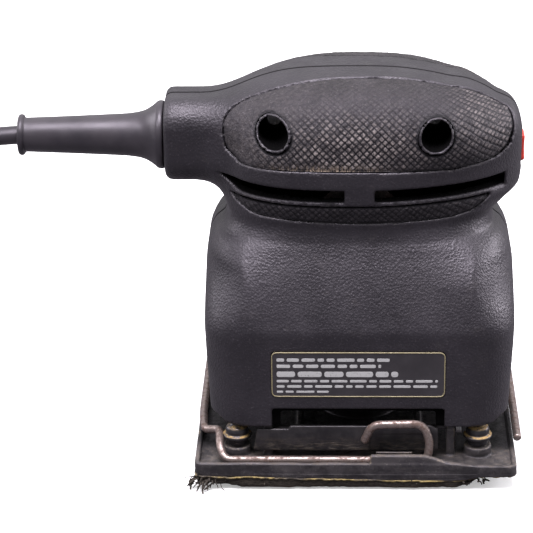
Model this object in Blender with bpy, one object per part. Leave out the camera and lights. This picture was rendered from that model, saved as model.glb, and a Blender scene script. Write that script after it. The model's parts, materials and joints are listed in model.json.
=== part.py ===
"""Corded quarter-sheet palm sander, modelled as its separate pieces.

The motor's axis is the Z axis. X points to the rocker switch, and the cord leaves towards -X.
Z is zero on the underside of the foam pad. Every size below is in millimetres, and add_object
turns the finished mesh into metres. The platen is drawn at the -Y end of its small orbit.
"""

import math

import bmesh
import bpy
from mathutils import Matrix, Vector

MM = 0.001
GAP = 0.3                      # clearance between pieces that touch on the real tool
SEAM = 0.15                    # each clamshell half stops this far from the parting plane

# Platen and pad: a quarter of a standard abrasive sheet wraps round them.
PLATEN_X, PLATEN_Y = 57.8, 54.0          # half sizes
PLATEN_MID_X = -1.4            # the plate and the clamps sit a little towards the cord
PLATEN_CORNER = 3.0
PAD_TOP = 4.5
PLATE_TOP = 7.0
RIM_TOP = 9.0
RIM_WIDTH = 1.7
ORBIT = 0.8                    # eccentricity, so the orbit is 1.6 mm across

# Housing: half widths at its levels, and the grip's outline on the parting plane.
WALL = 2.5
SKIRT_Z = 19.3
SKIRT_SIDE_Z = 22.0
CREASE_Z = 55.5
FACE_Y = 47.0
LIP_Z, LIP_Y = 106.5, 36.0
CREST_Z = 139.8
GRIP_POWER = 2.9
NOTCH_LEFT, NOTCH_RIGHT, NOTCH_TOP = -31.3, 27.4, 26.0
SLOT_LOW, SLOT_HIGH = 100.6, 105.3
BOSS_END, BOSS_HALF_Y, BOSS_LOW, BOSS_HIGH = -70.0, 15.5, 97.1, 130.2
LABEL_LOW, LABEL_HIGH = (-31.3, 31.1), (30.5, 48.6)      # (x, z) of the nameplate's corners
SCREWS = ((-30.2, 124.0), (26.7, 124.0))                 # (x, z) of the housing screws
WELL_RADIUS, WELL_FLOOR_Y = 5.3, -9.0
SCREW_RADIUS, SCREW_HEAD_RADIUS = 2.0, 3.9

# Cord and switch.
CORD_Z = 113.7
CORD_RADIUS = 3.5
CLAMP_X, CLAMP_SCREW_Z = -58.0, (106.0, 121.4)
ROCKER_X, ROCKER_Z = 54.6, 109.0
ROCKER_TILT = math.radians(8)

# Motor, listed from the bottom up.
SHAFT_RADIUS = 4.0
WEIGHT_LOW, WEIGHT_HIGH, WEIGHT_RADIUS = 20.0, 29.0, 23.0
LOWER_BEARING_LOW, BEARING_HEIGHT, BEARING_RADIUS = 33.0, 7.0, 11.0
FAN_LOW, FAN_HIGH, FAN_RADIUS, FAN_BLADES = 43.0, 52.0, 26.0, 12
STACK_LOW, STACK_HIGH = 58.0, 84.0
ARMATURE_RADIUS, AIR_GAP = 17.0, 0.6
POLES = 12
COMMUTATOR_LOW, COMMUTATOR_HIGH, COMMUTATOR_RADIUS = 96.0, 110.5, 11.0
BRUSH_Z, BRUSH_LENGTH, BRUSH_HALF_Y, BRUSH_HALF_Z = 103.5, 12.0, 3.0, 4.0
UPPER_BEARING_LOW, UPPER_BEARING_HEIGHT, UPPER_BEARING_RADIUS = 113.0, 6.0, 9.5
UPPER_SHAFT_RADIUS = 3.0
BEARING_TOP = 16.4             # of the platen's own bearing
BEARING_LOW = BEARING_TOP - BEARING_HEIGHT
HUB_RADIUS, HUB_FLOOR_HOLE = 15.0, 7.0

# Sheet clamps. The far clamp is the near one turned half a turn about the platen's centre.
WIRE_RADIUS = 1.25
AXLE_Y, AXLE_Z = -51.2, 9.5
FLAP_HINGE_Y, FLAP_HINGE_Z = -42.0, 16.6
ARM_X = -58.0
SPRING_START, SPRING_END, SPRING_RADIUS, SPRING_WIRE = 34.9, 36.8, 2.0, 0.35
FEET = ((-44.2, -41.4), (42.8, -41.4), (-45.6, 39.8), (41.4, 39.8))
FOOT_BOSS, SOCKET = 5.0, 3.95

ROUND = 24                     # facets round a large turned piece
FINE = 12                      # facets round a small one


# ---------------------------------------------------------------- materials

def finish(name, colour, roughness, metallic=0.0):
    """A Principled material with one colour."""
    made = bpy.data.materials.new(name)
    made.use_nodes = True
    shader = made.node_tree.nodes["Principled BSDF"]
    shader.inputs["Base Color"].default_value = (*colour, 1.0)
    shader.inputs["Roughness"].default_value = roughness
    shader.inputs["Metallic"].default_value = metallic
    made.diffuse_color = (*colour, 1.0)
    return made


# ---------------------------------------------------------------- shapes, all returned as a bmesh

def closed_mesh(points, faces):
    """A bmesh from points and face indices, with its normals turned outwards."""
    made = bmesh.new()
    corners = [made.verts.new(point) for point in points]
    for face in faces:
        made.faces.new([corners[index] for index in face])
    bmesh.ops.recalc_face_normals(made, faces=made.faces)
    return made


def block(low, high):
    """A box between two corners."""
    made = bmesh.new()
    size = Vector(high) - Vector(low)
    middle = (Vector(high) + Vector(low)) / 2
    place = Matrix.Translation(middle) @ Matrix.Diagonal((*size, 1.0))
    bmesh.ops.create_cube(made, size=1.0, matrix=place)
    return made


def loft(rings):
    """Rings of equal length joined in order, with flat ends."""
    count = len(rings[0])
    points = [point for ring in rings for point in ring]
    faces = [list(range(count)), list(range(len(points) - count, len(points)))]
    for level in range(len(rings) - 1):
        for index in range(count):
            after = (index + 1) % count
            low, high = level * count, (level + 1) * count
            faces.append([low + index, low + after, high + after, high + index])
    return closed_mesh(points, faces)


def along(axis, height, first, second):
    """A point from its height on an axis and its two other coordinates, in cyclic order."""
    return {
        "X": (height, first, second),
        "Y": (second, height, first),
        "Z": (first, second, height),
    }[axis]


def prism(outline, low, high, axis="Z"):
    """An outline pushed along an axis."""
    return loft([[along(axis, level, *point) for point in outline] for level in (low, high)])


def turned(profile, centre, axis="Z", facets=ROUND):
    """A closed profile of (radius, height) turned round an axis through centre."""
    points, faces, rings = [], [], []
    for radius, height in profile:
        ring = []
        for step in range(facets if radius > 0 else 1):
            angle = math.tau * step / facets
            offset = Vector(along(axis, height, radius * math.cos(angle), radius * math.sin(angle)))
            ring.append(len(points))
            points.append(Vector(centre) + offset)
        rings.append(ring)
    for level, ring in enumerate(rings):
        after = rings[(level + 1) % len(rings)]
        if len(ring) == 1 and len(after) == 1:
            continue
        for step in range(facets):
            corners = [
                ring[step % len(ring)],
                ring[(step + 1) % len(ring)],
                after[(step + 1) % len(after)],
                after[step % len(after)],
            ]
            faces.append(list(dict.fromkeys(corners)))
    return closed_mesh(points, faces)


def rod(radius, low, high, centre, axis="Z", facets=FINE):
    """A plain cylinder, measured from centre."""
    return turned([(0, low), (radius, low), (radius, high), (0, high)], centre, axis, facets)


def ring(outer, inner, low, high, centre, axis="Z", facets=ROUND):
    """A cylinder with a bore."""
    profile = [(inner, low), (outer, low), (outer, high), (inner, high)]
    return turned(profile, centre, axis, facets)


def rounded_path(corners, radius, steps=3):
    """An open path whose inner corners are replaced by arcs."""
    corners = [Vector(corner) for corner in corners]
    path = [corners[0]]
    for before, corner, after in zip(corners, corners[1:], corners[2:]):
        into = (before - corner).normalized()
        out = (after - corner).normalized()
        half = into.angle(out) / 2
        reach = min(radius / math.tan(half), (before - corner).length * 0.45, (after - corner).length * 0.45)
        start, end = corner + into * reach, corner + out * reach
        for step in range(steps + 1):
            share = step / steps
            first = start.lerp(corner, share)
            path.append(first.lerp(corner.lerp(end, share), share))
    path.append(corners[-1])
    return path


def tube(path, radius, facets=8):
    """A round bar along a path, with flat ends."""
    path = [Vector(point) for point in path]
    heading = (path[1] - path[0]).normalized()
    side = heading.orthogonal().normalized()
    rings = []
    for index, point in enumerate(path):
        before = path[max(index - 1, 0)]
        after = path[min(index + 1, len(path) - 1)]
        direction = (after - before).normalized()
        side = (side - direction * side.dot(direction)).normalized()
        other = direction.cross(side)
        turn = [math.tau * step / facets for step in range(facets)]
        rings.append([point + radius * (side * math.cos(a) + other * math.sin(a)) for a in turn])
    return loft(rings)


def rounded_rectangle(half_x, half_y, radius, steps=4):
    """The outline of a rectangle with round corners, centred on zero."""
    outline = []
    for corner in range(4):
        centre_x = (half_x - radius) * (1 if corner in (0, 3) else -1)
        centre_y = (half_y - radius) * (1 if corner in (0, 1) else -1)
        for step in range(steps + 1):
            angle = math.pi / 2 * (corner + step / steps)
            outline.append((centre_x + radius * math.cos(angle), centre_y + radius * math.sin(angle)))
    return outline


def moved(shape, offset=(0, 0, 0), half_turn=False):
    """The same bmesh, turned half a turn about the platen's middle if asked, then shifted."""
    if half_turn:
        bmesh.ops.rotate(
            shape, verts=shape.verts, cent=(PLATEN_MID_X, -ORBIT, 0),
            matrix=Matrix.Rotation(math.pi, 3, "Z"),
        )
    bmesh.ops.translate(shape, verts=shape.verts, vec=offset)
    return shape


def combined(operation, base, others):
    """Base joined to, or cut by, each of the others in turn. The shapes passed in are used up."""
    for other in others:
        helpers = []
        for shape in (base, other):
            mesh = bpy.data.meshes.new("helper")
            shape.to_mesh(mesh)
            shape.free()
            helper = bpy.data.objects.new("helper", mesh)
            bpy.context.scene.collection.objects.link(helper)
            helpers.append(helper)
        step = helpers[0].modifiers.new("step", "BOOLEAN")
        step.operation = operation
        step.solver = "EXACT"
        step.object = helpers[1]
        graph = bpy.context.evaluated_depsgraph_get()
        base = bmesh.new()
        base.from_mesh(helpers[0].evaluated_get(graph).to_mesh())
        for helper in helpers:
            mesh = helper.data
            bpy.data.objects.remove(helper)
            bpy.data.meshes.remove(mesh)
        bmesh.ops.remove_doubles(base, verts=base.verts, dist=1e-4)
        bmesh.ops.dissolve_degenerate(base, edges=base.edges, dist=1e-4)
    return base


def union(base, *others):
    return combined("UNION", base, others)


def difference(base, *others):
    return combined("DIFFERENCE", base, others)


def add_object(name, shape, surface, origin=(0, 0, 0), smooth_angle=None):
    """Turns a bmesh in millimetres into the named object, with its origin where it turns or rests."""
    bmesh.ops.translate(shape, verts=shape.verts, vec=-Vector(origin))
    bmesh.ops.scale(shape, verts=shape.verts, vec=(MM, MM, MM))
    bmesh.ops.triangulate(shape, faces=shape.faces)
    mesh = bpy.data.meshes.new(name)
    shape.to_mesh(mesh)
    shape.free()
    mesh.materials.append(surface)
    made = bpy.data.objects.new(name, mesh)
    made.location = Vector(origin) * MM
    bpy.context.scene.collection.objects.link(made)
    if smooth_angle:
        mesh.shade_smooth()
        mesh.set_sharp_from_angle(angle=math.radians(smooth_angle))
    return made


# ---------------------------------------------------------------- housing

def level_outline(left, right, depth, power, height, facets=36):
    """A horizontal superellipse between left and right, with the given half depth."""
    points = []
    for step in range(facets):
        angle = math.tau * (step + 0.5) / facets
        across, away = math.cos(angle), math.sin(angle)
        x = (left + right) / 2 + (right - left) / 2 * math.copysign(abs(across) ** (2 / power), across)
        y = depth * math.copysign(abs(away) ** (2 / power), away)
        points.append((x, y, height))
    return points


def grip_depth(height):
    """Half depth of the grip above its lip, a superellipse in the YZ plane."""
    rise = (height - LIP_Z) / (CREST_Z - LIP_Z)
    return LIP_Y * (1 - rise ** GRIP_POWER) ** (1 / GRIP_POWER)


def housing_levels():
    """(height, left, right, half depth, squareness) of the housing from its skirt to its crest."""
    body = [
        (SKIRT_Z, -54.2, 54.2, FACE_Y - 0.4, 9.0),
        (26.0, -54.5, 54.5, FACE_Y, 9.0),
        (CREASE_Z, -55.7, 55.7, FACE_Y, 9.0),
        (63.0, -55.7, 55.7, 44.0, 7.0),
        (70.0, -55.6, 55.6, 40.8, 5.5),
        (76.0, -55.0, 54.6, 37.8, 4.5),
        (82.0, -52.4, 51.7, 34.6, 3.6),
        (85.5, -48.8, 48.4, 33.0, 3.1),
        (89.0, -47.8, 48.6, 32.4, 2.8),
        (93.2, -49.0, 53.2, 33.4, 2.6),
        (98.0, -49.8, 58.2, 34.9, 2.5),
        (LIP_Z, -50.0, 59.0, LIP_Y, 2.5),
    ]
    grip = [
        (114.0, -50.0, 58.6), (121.0, -49.5, 57.8), (127.0, -47.0, 52.2), (131.5, -44.0, 43.0),
        (135.2, -38.0, 33.4), (137.8, -28.0, 23.2), (139.5, -13.0, 9.0),
    ]
    return body + [(z, left, right, grip_depth(z), 2.5) for z, left, right in grip]


def housing_body(inset, low, high):
    """The housing's body and grip, or its inner surface when inset by the wall."""
    rings = []
    for z, left, right, depth, power in housing_levels():
        ratio = (z - SKIRT_Z) / (CREST_Z - SKIRT_Z)
        height = low + (high - low) * ratio if inset else z
        if depth > inset + 1 and right - inset > left + inset + 2:
            rings.append(level_outline(left + inset, right - inset, depth - inset, power, height))
    return loft(rings)


def cord_boss(inset):
    """The block on the -X side that holds the strain relief."""
    low, high = BOSS_LOW + inset, BOSS_HIGH - inset
    outline = rounded_rectangle(BOSS_HALF_Y - inset, (high - low) / 2, 7.0 - inset)
    return moved(prism(outline, BOSS_END + inset, -36.0, "X"), (0, 0, (low + high) / 2))


def housing_webs():
    """Solid webs and bosses that stand inside the housing."""
    return [
        block((-60, -15, 34.5), (60, 15, 38.5)),
        rod(BEARING_RADIUS + 3.5, 31.2, 41.8, (0, 0, 0), facets=ROUND),
        block((-14, -40, 111.4), (14, 40, 120.6)),
        *[
            block((x - 2, -60, z), (x + 2, 60, z + 2))
            for x in (-24, 24)
            for z in (STACK_LOW + 4, STACK_HIGH - 6)
        ],
        *[rod(8.0, -60, 60, (x, 0, z), "Y") for x, z in SCREWS],
        *[rod(6.2, 12, 34, (x, y + ORBIT, 0)) for x, y in FEET],
        block((-61, 2, 101), (-55, 20, 109.8)),
        block((-61, 2, 117.6), (-55, 20, 126)),
    ]


def housing_openings():
    """Everything that is cut through the finished shell."""
    openings = [
        rod(BEARING_RADIUS + GAP, LOWER_BEARING_LOW - GAP, LOWER_BEARING_LOW + BEARING_HEIGHT + GAP,
            (0, 0, 0), facets=ROUND),
        rod(8.5, 28, 45, (0, 0, 0)),
        rod(UPPER_BEARING_RADIUS + GAP, UPPER_BEARING_LOW - GAP,
            UPPER_BEARING_LOW + UPPER_BEARING_HEIGHT + GAP, (0, 0, 0), facets=ROUND),
        rod(6.5, 105, UPPER_BEARING_LOW, (0, 0, 0)),
        block((-31.3, -27.3, STACK_LOW + 3), (31.3, 27.3, STACK_HIGH - 3)),
        block((NOTCH_LEFT, -60, 0), (NOTCH_RIGHT, -40, NOTCH_TOP)),
        moved(block((NOTCH_LEFT, -60, 0), (NOTCH_RIGHT, -40, NOTCH_TOP)), half_turn=True),
        block((49, -60, 0), (70, 60, SKIRT_SIDE_Z)),
        block((-70, -60, 0), (-49, 60, SKIRT_SIDE_Z)),
        block((50, -5.4, 101.9), (70, 5.4, 116.1)),
        rod(7.8, BOSS_END - 5, BOSS_END + 8, (0, 0, CORD_Z), "X", ROUND),
        block((LABEL_LOW[0] - GAP, -FACE_Y - 1, LABEL_LOW[1] - GAP),
              (LABEL_HIGH[0] + GAP, -FACE_Y + 0.5, LABEL_HIGH[1] + GAP)),
        *[
            block((left, side * 29 - 12, SLOT_LOW), (right, side * 29 + 12, SLOT_HIGH))
            for side in (-1, 1)
            for left, right in ((-47.0, -5.3), (5.3, 49.0))
        ],
        *[rod(SOCKET, 10, 30, (x, y + ORBIT, 0)) for x, y in FEET],
    ]
    for x, z in SCREWS:
        openings.append(rod(WELL_RADIUS, -60, WELL_FLOOR_Y, (x, 0, z), "Y"))
        openings.append(rod(SCREW_RADIUS + GAP, -20, 13, (x, 0, z), "Y"))
    for z in CLAMP_SCREW_Z:
        openings.append(rod(1.8, -3, 9, (CLAMP_X, 0, z), "Y"))
    return openings


def housing_half(name, side, surface):
    """One clamshell half. Side is -1 for the half that faces -Y."""
    outer = union(housing_body(0, 0, 0), cord_boss(0))
    inner = union(housing_body(WALL, SKIRT_Z - 5, CREST_Z - WALL), cord_boss(WALL))
    cavity = difference(inner, *housing_webs())
    half_space = block((-90, -SEAM if side < 0 else -80, -10), (90, 80 if side < 0 else SEAM, 160))
    shell = difference(outer, cavity, *housing_openings(), half_space)
    add_object(name, shell, surface, smooth_angle=35)


def housing_screw(name, x, z, surface):
    """A pan-head screw with a cross recess, driven from the -Y side."""
    head = WELL_FLOOR_Y - GAP
    profile = [
        (0, head - 2.4), (SCREW_HEAD_RADIUS - 1.4, head - 2.4), (SCREW_HEAD_RADIUS, head - 1.3),
        (SCREW_HEAD_RADIUS, head), (SCREW_RADIUS, head), (SCREW_RADIUS, 11.0), (0, 12.2),
    ]
    screw = turned(profile, (x, 0, z), "Y", FINE)
    recess = [
        block((x - 2.2, head - 3, z - 0.45), (x + 2.2, head - 1.2, z + 0.45)),
        block((x - 0.45, head - 3, z - 2.2), (x + 0.45, head - 1.2, z + 2.2)),
    ]
    add_object(name, difference(screw, *recess), surface, (x, head, z), 35)


def nameplate(surface):
    """A thin blank plate in a shallow recess of the near face."""
    outline = rounded_rectangle(
        (LABEL_HIGH[0] - LABEL_LOW[0]) / 2, (LABEL_HIGH[1] - LABEL_LOW[1]) / 2, 1.5
    )
    middle = ((LABEL_LOW[0] + LABEL_HIGH[0]) / 2, 0, (LABEL_LOW[1] + LABEL_HIGH[1]) / 2)
    turned_outline = [(z, x) for x, z in outline]
    plate = prism(turned_outline, -FACE_Y - 0.15, -FACE_Y + 0.2, "Y")
    add_object("nameplate", moved(plate, middle), surface)


# ---------------------------------------------------------------- cord entry

def strain_relief(surface):
    """The rubber sleeve: an inner flange, a neck through the boss, a collar, a taper and a lip."""
    bore = CORD_RADIUS + GAP
    profile = [
        (bore, -64.0), (bore, -123.5), (7.0, -123.5), (7.5, -122.9), (7.2, -121.9), (6.1, -121.6),
        (6.9, -100.0), (7.8, -83.0), (8.8, -79.0), (10.6, -76.2), (12.2, -74.2), (12.5, -71.6),
        (12.2, BOSS_END - 0.5), (7.4, BOSS_END - 0.5), (7.4, -66.8), (9.6, -66.8), (9.6, -64.0),
    ]
    sleeve = turned(profile, (0, 0, CORD_Z), "X", ROUND)
    add_object("strain_relief", sleeve, surface, (BOSS_END, 0, CORD_Z), 40)


def cord(surface):
    """The mains cord from inside the boss to a plain cut end past the sleeve."""
    path = [(-54.0, 0, CORD_Z), (-124.0, 0, CORD_Z), (-136, 0, CORD_Z - 1.2), (-150, 0, CORD_Z - 5.0)]
    add_object("cord", tube(rounded_path(path, 30, 4), CORD_RADIUS, FINE), surface, path[0], 40)


def cord_clamp(surface, screw_surface):
    """The bar that traps the cord against the far half, and its two screws."""
    bar = block((CLAMP_X - 3, -7.2, 102), (CLAMP_X + 3, -CORD_RADIUS - GAP, 125.4))
    holes = [rod(1.8, -10, 0, (CLAMP_X, 0, z), "Y") for z in CLAMP_SCREW_Z]
    add_object("cord_clamp", difference(bar, *holes), surface, (CLAMP_X, -5.5, CORD_Z))
    for number, z in enumerate(CLAMP_SCREW_Z, 1):
        profile = [(0, -9.6), (2.6, -9.6), (2.6, -7.5), (1.5, -7.5), (1.5, 8.0), (0, 8.6)]
        screw = turned(profile, (CLAMP_X, 0, z), "Y", FINE)
        add_object(f"cord_clamp_screw_{number}", screw, screw_surface, (CLAMP_X, -7.5, z), 35)


def lead_wire(name, side, surface):
    """One insulated wire from the cord's end to the back of the switch."""
    path = [
        (-53.4, side * 1.7, CORD_Z), (-47, side * 1.9, CORD_Z - 1), (-36, side * 19, 109),
        (20, side * 21, 109), (32, side * 5, 109), (39.4, side * 4.5, 109),
    ]
    add_object(name, tube(rounded_path(path, 6, 3), 1.1, 8), surface, path[0], 40)


# ---------------------------------------------------------------- switch

def switch_body(surface):
    """The switch's insulating body, with a cavity that opens towards +X."""
    body = block((40, -7.2, 101.2), (53.8, 7.2, 116.8))
    cavity = block((47.5, -4.9, 102.2), (60, 4.9, 115.9))
    add_object("switch_body", difference(body, cavity), surface, (40, 0, ROCKER_Z))


def switch_rocker(surface):
    """The rocker at rest, with its upper end pressed in. Its face is a shallow V."""
    half, front, ear = 6.2, 4.6, 0.7
    outline = [
        (-4.6, -3.0), (-half, -1.0), (-half, front + ear), (0, front - 0.3), (half, front + ear),
        (half, -1.0), (4.6, -3.0),
    ]
    rocker = prism([(z, x) for z, x in outline], -4.5, 4.5, "Y")
    bmesh.ops.rotate(rocker, verts=rocker.verts, cent=(0, 0, 0), matrix=Matrix.Rotation(-ROCKER_TILT, 3, "Y"))
    add_object("switch_rocker", moved(rocker, (ROCKER_X, 0, ROCKER_Z)), surface, (ROCKER_X, 0, ROCKER_Z))


# ---------------------------------------------------------------- motor

def bearing(name, centre, radius, bore, height, surface):
    """A sealed ball bearing, drawn as one ring with a groove at each shield."""
    groove = 0.5
    profile = [
        (bore, 0), (bore + 1.6, 0), (bore + 1.9, groove), (radius - 1.9, groove), (radius - 1.6, 0),
        (radius, 0), (radius, height), (bore, height),
    ]
    add_object(name, turned(profile, centre, "Z", ROUND), surface, centre, 35)


def armature_shaft(surface):
    """The stepped shaft from the eccentric to the upper bearing."""
    profile = [
        (0, 21.0), (SHAFT_RADIUS, 21.0), (SHAFT_RADIUS, 112.0), (UPPER_SHAFT_RADIUS, 112.0),
        (UPPER_SHAFT_RADIUS, 118.4), (UPPER_SHAFT_RADIUS - 0.5, 118.9), (0, 118.9),
    ]
    add_object("armature_shaft", turned(profile, (0, 0, 0), "Z", 24), surface, smooth_angle=35)


def slot_outline():
    """The armature stack's outline: teeth with straight slots between them."""
    slot_floor, slot_half = 10.0, 1.45
    outline = []
    for pole in range(POLES):
        middle = math.tau * pole / POLES
        direction = Vector((math.cos(middle), math.sin(middle)))
        across = Vector((-direction.y, direction.x))
        rim = math.sqrt(ARMATURE_RADIUS ** 2 - slot_half ** 2)
        outline.append(tuple(direction * rim - across * slot_half))
        outline.append(tuple(direction * slot_floor - across * slot_half))
        outline.append(tuple(direction * slot_floor + across * slot_half))
        outline.append(tuple(direction * rim + across * slot_half))
        tooth = middle + math.pi / POLES
        outline.append((ARMATURE_RADIUS * math.cos(tooth), ARMATURE_RADIUS * math.sin(tooth)))
    return outline


def armature_core(surface):
    """The stack of slotted laminations on the shaft."""
    stack = prism(slot_outline(), STACK_LOW, STACK_HIGH)
    bore = rod(SHAFT_RADIUS + GAP, STACK_LOW - 5, STACK_HIGH + 5, (0, 0, 0), facets=24)
    add_object("armature_core", difference(stack, bore), surface)


def armature_winding(surface):
    """The copper: a bundle at each end of the stack, joined by a bar in every slot."""
    inner, outer = SHAFT_RADIUS + 1.5, 13.2
    low = turned(
        [(inner, STACK_LOW - 4.0), (outer - 2, STACK_LOW - 4.0), (outer, STACK_LOW - 2.5),
         (outer, STACK_LOW - GAP), (inner, STACK_LOW - GAP)], (0, 0, 0), "Z", 24)
    high = turned(
        [(inner, STACK_HIGH + GAP), (outer, STACK_HIGH + GAP), (outer, STACK_HIGH + 4.0),
         (outer - 3, STACK_HIGH + 7.0), (inner, STACK_HIGH + 8.0)], (0, 0, 0), "Z", 24)
    bars = []
    for pole in range(POLES):
        bar = block((10.6, -1.0, STACK_LOW - 1.5), (12.8, 1.0, STACK_HIGH + 1.5))
        turn = Matrix.Rotation(math.tau * pole / POLES, 3, "Z")
        bmesh.ops.rotate(bar, verts=bar.verts, cent=(0, 0, 0), matrix=turn)
        bars.append(bar)
    add_object("armature_winding", union(low, high, *bars), surface, smooth_angle=35)


def commutator(surface):
    """The copper drum that the brushes run on, with its riser below."""
    inner = SHAFT_RADIUS + GAP
    profile = [
        (inner, COMMUTATOR_LOW), (COMMUTATOR_RADIUS + 1.2, COMMUTATOR_LOW),
        (COMMUTATOR_RADIUS + 1.2, COMMUTATOR_LOW + 2), (COMMUTATOR_RADIUS, COMMUTATOR_LOW + 2),
        (COMMUTATOR_RADIUS, COMMUTATOR_HIGH), (inner, COMMUTATOR_HIGH),
    ]
    add_object("commutator", turned(profile, (0, 0, 0), "Z", 24), surface, smooth_angle=35)


def cooling_fan(surface):
    """A radial fan: a disc, a hub and straight blades."""
    inner = SHAFT_RADIUS + GAP
    disc = turned(
        [(inner, FAN_LOW), (FAN_RADIUS, FAN_LOW), (FAN_RADIUS, FAN_LOW + 1.6), (8.0, FAN_LOW + 1.6),
         (8.0, FAN_HIGH), (inner, FAN_HIGH)], (0, 0, 0), "Z", ROUND)
    blades = []
    for number in range(FAN_BLADES):
        blade = block((7.0, -0.7, FAN_LOW + 0.8), (FAN_RADIUS - 0.6, 0.7, FAN_HIGH - 0.5))
        turn = Matrix.Rotation(math.tau * (number + 0.5) / FAN_BLADES, 3, "Z")
        bmesh.ops.rotate(blade, verts=blade.verts, cent=(0, 0, 0), matrix=turn)
        blades.append(blade)
    add_object("cooling_fan", union(disc, *blades), surface, smooth_angle=35)


def field_stack(surface):
    """The stator laminations: two pole faces, with a window for the coils on each side."""
    outer = prism(rounded_rectangle(31.0, 27.0, 9.0), STACK_LOW, STACK_HIGH)
    openings = [
        rod(ARMATURE_RADIUS + AIR_GAP, STACK_LOW - 5, STACK_HIGH + 5, (0, 0, 0), facets=ROUND),
        block((-26, -12, STACK_LOW - 5), (26, 12, STACK_HIGH + 5)),
        *[
            block((x - 4.2, -20.8, STACK_LOW - 5), (x + 4.2, 20.8, STACK_HIGH + 5))
            for x in (-21.6, 21.6)
        ],
    ]
    add_object("field_stack", difference(outer, *openings), surface)


def field_coil(name, side, surface):
    """One coil: a loop that lies in the windows and passes over the stack's ends."""
    low, high = (-20.4, -14.4) if side < 0 else (14.4, 20.4)
    loop = block((-25.2, low, STACK_LOW - 4.2), (25.2, high, STACK_HIGH + 4.2))
    middle = block((-18.2, low - 5, STACK_LOW - GAP), (18.2, high + 5, STACK_HIGH + GAP))
    made = difference(loop, middle)
    add_object(name, made, surface, (0, (low + high) / 2, (STACK_LOW + STACK_HIGH) / 2))


def brush_set(side, surfaces):
    """A carbon brush, its brass holder and its spring, on the -X or +X side of the commutator."""
    word = "left" if side < 0 else "right"
    start = COMMUTATOR_RADIUS + GAP

    def mirrored(low, high):
        ends = sorted((side * low[0], side * high[0]))
        return block((ends[0], low[1], low[2]), (ends[1], high[1], high[2]))

    y, z = BRUSH_HALF_Y, BRUSH_HALF_Z
    holder_start, holder_end, skin = start + 2.0, start + 19.0, 1.2
    outer = mirrored(
        (holder_start, -y - GAP - skin, BRUSH_Z - z - GAP - skin),
        (holder_end, y + GAP + skin, BRUSH_Z + z + GAP + skin),
    )
    bore = mirrored(
        (holder_start - 5, -y - GAP, BRUSH_Z - z - GAP), (holder_end - 1.2, y + GAP, BRUSH_Z + z + GAP)
    )
    middle = (side * (start + BRUSH_LENGTH / 2), 0, BRUSH_Z)
    add_object(f"brush_holder_{word}", difference(outer, bore), surfaces["brass"], middle)
    carbon = mirrored((start, -y, BRUSH_Z - z), (start + BRUSH_LENGTH, y, BRUSH_Z + z))
    add_object(f"carbon_brush_{word}", carbon, surfaces["carbon"], (side * start, 0, BRUSH_Z))
    turns, steps, low, high = 3, 8, start + BRUSH_LENGTH + 0.7, holder_end - 1.9
    coil = []
    for step in range(turns * steps + 1):
        share = step / (turns * steps)
        angle = math.tau * turns * share
        x = side * (low + (high - low) * share)
        coil.append((x, 2.3 * math.cos(angle), BRUSH_Z + 2.3 * math.sin(angle)))
    add_object(f"brush_spring_{word}", tube(coil, 0.35, 5), surfaces["steel"], coil[-1], 40)


def counterweight(surface):
    """The eccentric: a hub on the shaft, a half disc of iron, and the offset spigot below."""
    hub = rod(9.0, WEIGHT_LOW - 0.5, WEIGHT_HIGH + 2, (0, 0, 0), facets=24)
    steps = 14
    sector = [(0.0, -2.0)]
    for step in range(steps + 1):
        angle = math.radians(-12 + 204 * step / steps)
        sector.append((WEIGHT_RADIUS * math.cos(angle), WEIGHT_RADIUS * math.sin(angle)))
    weight = prism(sector, WEIGHT_LOW, WEIGHT_HIGH)
    spigot = turned(
        [(0, 9.6), (3.7, 9.6), (3.7, BEARING_TOP + GAP), (5.4, BEARING_TOP + GAP), (5.4, WEIGHT_LOW + 2),
         (0, WEIGHT_LOW + 2)], (0, -ORBIT, 0), "Z", 24)
    shaft_bore = rod(SHAFT_RADIUS + GAP, 20.6, 40, (0, 0, 0), facets=24)
    screw_bore = rod(2.2, 0, 20.1, (0, -ORBIT, 0), facets=12)
    made = difference(union(hub, weight, spigot), shaft_bore, screw_bore)
    add_object("counterweight", made, surface, smooth_angle=35)


# ---------------------------------------------------------------- platen

def platen_screw(surface, washer_surface):
    """The screw and washer that hold the platen bearing on the spigot."""
    profile = [(0, 5.6), (3.6, 5.6), (3.6, 7.8), (1.9, 7.8), (1.9, 19.0), (0, 19.6)]
    screw = turned(profile, (0, -ORBIT, 0), "Z", FINE)
    recess = prism(
        [(1.7 * math.cos(math.tau * n / 6), 1.7 * math.sin(math.tau * n / 6)) for n in range(6)], 5.0, 7.0
    )
    made = difference(screw, moved(recess, (0, -ORBIT, 0)))
    add_object("platen_screw", made, surface, (0, -ORBIT, 0), 35)
    washer = ring(5.6, 2.2, 8.1, 9.1, (0, -ORBIT, 0), facets=24)
    add_object("platen_washer", washer, washer_surface, (0, -ORBIT, 0), 35)


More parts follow.
